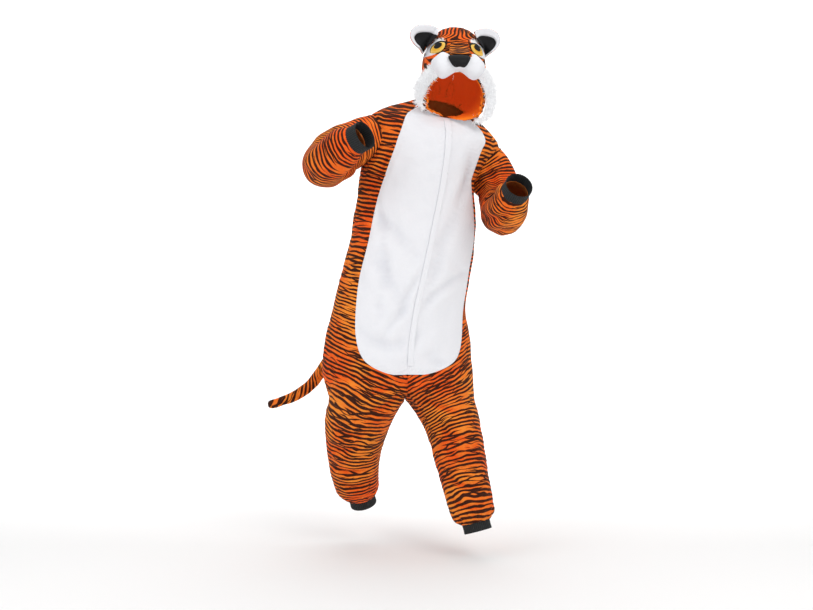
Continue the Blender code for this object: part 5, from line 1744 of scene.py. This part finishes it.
@dataclass
class FurTrim:
    """The long white pile round the face opening, its tufts laid by Geometry Nodes."""

    core_inset: float = 0.0060
    hidden_inset: float = 0.0060
    hidden_up: tuple = (-0.035, 0.000)
    hidden_across: tuple = (0.055, 0.075)
    inner_thinning: float = 0.65
    inner_facing: tuple = (-0.1, 0.7)
    tuft_length: float = 0.024
    tuft_radius: float = 0.0017
    tip_radius: float = 0.0001
    tuft_scales: tuple = (0.6, 1.1)
    density: float = 260000.0
    lean: float = 0.75
    seed: int = 7

    def build(self, wardrobe: Wardrobe) -> None:
        """Makes the core and its tufts as one piece."""
        core, _ = FineCopy(2, rim_crease=0.0).of("fur_trim", "fur_trim_core")
        mesh = core.data
        places = points_of(mesh)
        normals = normals_of(mesh)
        across, _, up = to_head(places).T
        hidden = smooth_step(up, *self.hidden_up) * (1 - smooth_step(np.abs(across), *self.hidden_across))
        inwards = self.facing_in(places, normals)
        places = places - normals * (self.core_inset + self.hidden_inset * hidden)[:, None]
        carry(mesh, "fluff", (1 - hidden) * (1 - self.inner_thinning * inwards))
        move_points(mesh, places)
        sizes = {"Length": self.tuft_length, "Radius": self.tuft_radius, "Density": self.density,
                 "Lean": self.lean, "Seed": self.seed}
        tufts = grow(core, self.tree(sizes, wardrobe.materials[Finish.FUR]), sizes, "fur_trim_tufts")
        wardrobe.dress(core, Finish.FUR, "fur_trim")
        wardrobe.dress(tufts, Finish.FUR)

    def facing_in(self, places: np.ndarray, normals: np.ndarray) -> np.ndarray:
        """1 where the core faces the opening's middle, 0 where it faces away."""
        across, _, up = to_head(places).T
        tip_across, _, tip_up = to_head(places + normals).T
        middle_up = (up.max() + up.min()) / 2
        reach = np.hypot(across, up - middle_up)
        inwards = -((tip_across - across) * across + (tip_up - up) * (up - middle_up)) / reach
        return smooth_step(inwards, *self.inner_facing)

    def tree(self, sizes: dict, material: bpy.types.Material) -> bpy.types.NodeTree:
        """The tree that stands tufts on the core, leaning at random."""
        build = Growth("fur", sizes, material)
        fluff = build.node("GeometryNodeInputNamedAttribute", {"data_type": "FLOAT"}, {"Name": "fluff"})
        thick = build.node("ShaderNodeMath", {"operation": "MULTIPLY"}, {
            0: fluff.outputs[0], 1: build.inputs["Density"]})
        spread = build.node("GeometryNodeDistributePointsOnFaces", {"distribute_method": "RANDOM"}, {
            "Mesh": build.shape, "Density": thick.outputs[0], "Seed": build.inputs["Seed"]})
        chance = build.node("FunctionNodeRandomValue", {"data_type": "FLOAT_VECTOR"}, {
            0: (-1.0, -1.0, -1.0), 1: (1.0, 1.0, 1.0), "Seed": 3})
        lean = build.node("ShaderNodeVectorMath", {"operation": "SCALE"}, {
            0: chance.outputs[0], "Scale": build.inputs["Lean"]})
        way = build.node("ShaderNodeVectorMath", {"operation": "ADD"}, {
            0: spread.outputs["Normal"], 1: lean.outputs[0]})
        turn = build.node("FunctionNodeAlignRotationToVector", {"axis": "Z"}, {"Vector": way.outputs[0]})
        tuft = build.node("GeometryNodeMeshCone", {"fill_type": "NONE"}, {
            "Vertices": 3, "Side Segments": 1, "Radius Top": self.tip_radius,
            "Radius Bottom": build.inputs["Radius"], "Depth": build.inputs["Length"]})
        least, most = self.tuft_scales
        size = build.node("FunctionNodeRandomValue", {"data_type": "FLOAT"}, {2: least, 3: most, "Seed": 5})
        sized = build.node("ShaderNodeMath", {"operation": "MULTIPLY"}, {
            0: size.outputs[1], 1: fluff.outputs[0]})
        laid = build.node("GeometryNodeInstanceOnPoints", {}, {
            "Points": spread.outputs["Points"], "Instance": tuft.outputs["Mesh"],
            "Rotation": turn.outputs[0], "Scale": sized.outputs[0]})
        return build.closed(laid.outputs[0])


@dataclass(frozen=True)
class Lamp:
    """One soft square lamp: where it stands, what it is turned to, its side, watts and colour."""

    name: str
    place: tuple
    aim: tuple
    size: float
    power: float
    colour: tuple


GARMENT_MIDDLE = (-0.12, 0.0, -0.6)
LAMPS = (
    Lamp("key", (1.9, -3.2, 1.9), GARMENT_MIDDLE, 2.2, 62.0, (1.0, 0.985, 0.96)),
    Lamp("fill", (-2.8, -2.6, 0.9), GARMENT_MIDDLE, 2.6, 34.0, (0.97, 0.985, 1.0)),
    Lamp("top", (0.0, 0.6, 2.8), GARMENT_MIDDLE, 2.6, 30.0, (1.0, 1.0, 1.0)),
    Lamp("wall", (0.0, 2.4, 3.2), (0.0, 7.0, 1.0), 5.0, 260.0, (1.0, 1.0, 1.0)),
)


@dataclass
class Studio:
    """The camera at the photograph's place, a pale floor that runs up behind, and soft lights."""

    camera_place: tuple = (-0.1154, -3.8, -0.6435)
    lens: float = 51.8
    floor_height: float = -1.46
    reach: float = 9.0
    bend_start: float = 4.0
    bend_radius: float = 3.0
    bend_steps: int = 16
    daylight_strength: float = 0.62

    def build(self) -> None:
        """Makes the stage, the lights and the camera."""
        self.backdrop()
        self.camera()
        for lamp in LAMPS:
            self.hang(lamp)
        self.daylight()
        bpy.context.scene.view_settings.view_transform = "Standard"

    def backdrop(self) -> None:
        """The floor, curved up into a wall behind."""
        profile = [(-self.reach, 0.0), (self.bend_start, 0.0)]
        for step in range(1, self.bend_steps + 1):
            turn = math.pi / 2 * step / self.bend_steps
            profile.append((self.bend_start + self.bend_radius * math.sin(turn),
                            self.bend_radius * (1 - math.cos(turn))))
        profile.append((self.bend_start + self.bend_radius, self.reach))
        places = [(x, y, z + self.floor_height) for y, z in profile for x in (-self.reach, self.reach)]
        faces = [(2 * i, 2 * i + 1, 2 * i + 3, 2 * i + 2) for i in range(len(profile) - 1)]
        mesh = bpy.data.meshes.new("backdrop")
        mesh.from_pydata(places, [], faces)
        shade_smooth(mesh)
        shader = Shader("studio_white")
        place = shader.place()
        grain = shader.noise(place, 30.0)
        white = shader.finish((0.93, 0.93, 0.93, 1.0), 0.9, grain, 0.0001, 0.0, (1.0, 1.0, 1.0))
        mesh.materials.append(white)
        linked("backdrop", mesh)

    def camera(self) -> None:
        """The camera, level and square to the costume's front."""
        data = bpy.data.cameras.new("camera")
        data.lens = self.lens
        data.sensor_width = 36.0
        camera = linked("camera", data)
        camera.location = self.camera_place
        camera.rotation_euler = (math.pi / 2, 0.0, 0.0)
        bpy.context.scene.camera = camera

    def hang(self, lamp: Lamp) -> None:
        """Puts one lamp in its place and turns it to its aim."""
        data = bpy.data.lights.new(lamp.name, "AREA")
        data.size = lamp.size
        data.energy = lamp.power
        data.color = lamp.colour
        hung = linked(lamp.name, data)
        hung.location = lamp.place
        way = Vector(lamp.aim) - Vector(lamp.place)
        hung.rotation_euler = way.to_track_quat("-Z", "Y").to_euler()

    def daylight(self) -> None:
        """White light from all round."""
        world = bpy.data.worlds.new("daylight")
        world.use_nodes = True
        sky = world.node_tree.nodes["Background"]
        sky.inputs["Color"].default_value = (1.0, 1.0, 1.0, 1.0)
        sky.inputs["Strength"].default_value = self.daylight_strength
        bpy.context.scene.world = world


def main() -> None:
    """Builds the costume's looks, piece by piece."""
    logging.basicConfig(level=logging.INFO, format="%(name)s: %(message)s")
    Studio().build()
    wardrobe = Wardrobe()
    for part in (StripedBody(), WhiteBelly(), RibCuffs(), Hood(), Ears(), Eyes(), Snout(), FurTrim(), Tail()):
        part.build(wardrobe)


if __name__ == "__main__":
    main()
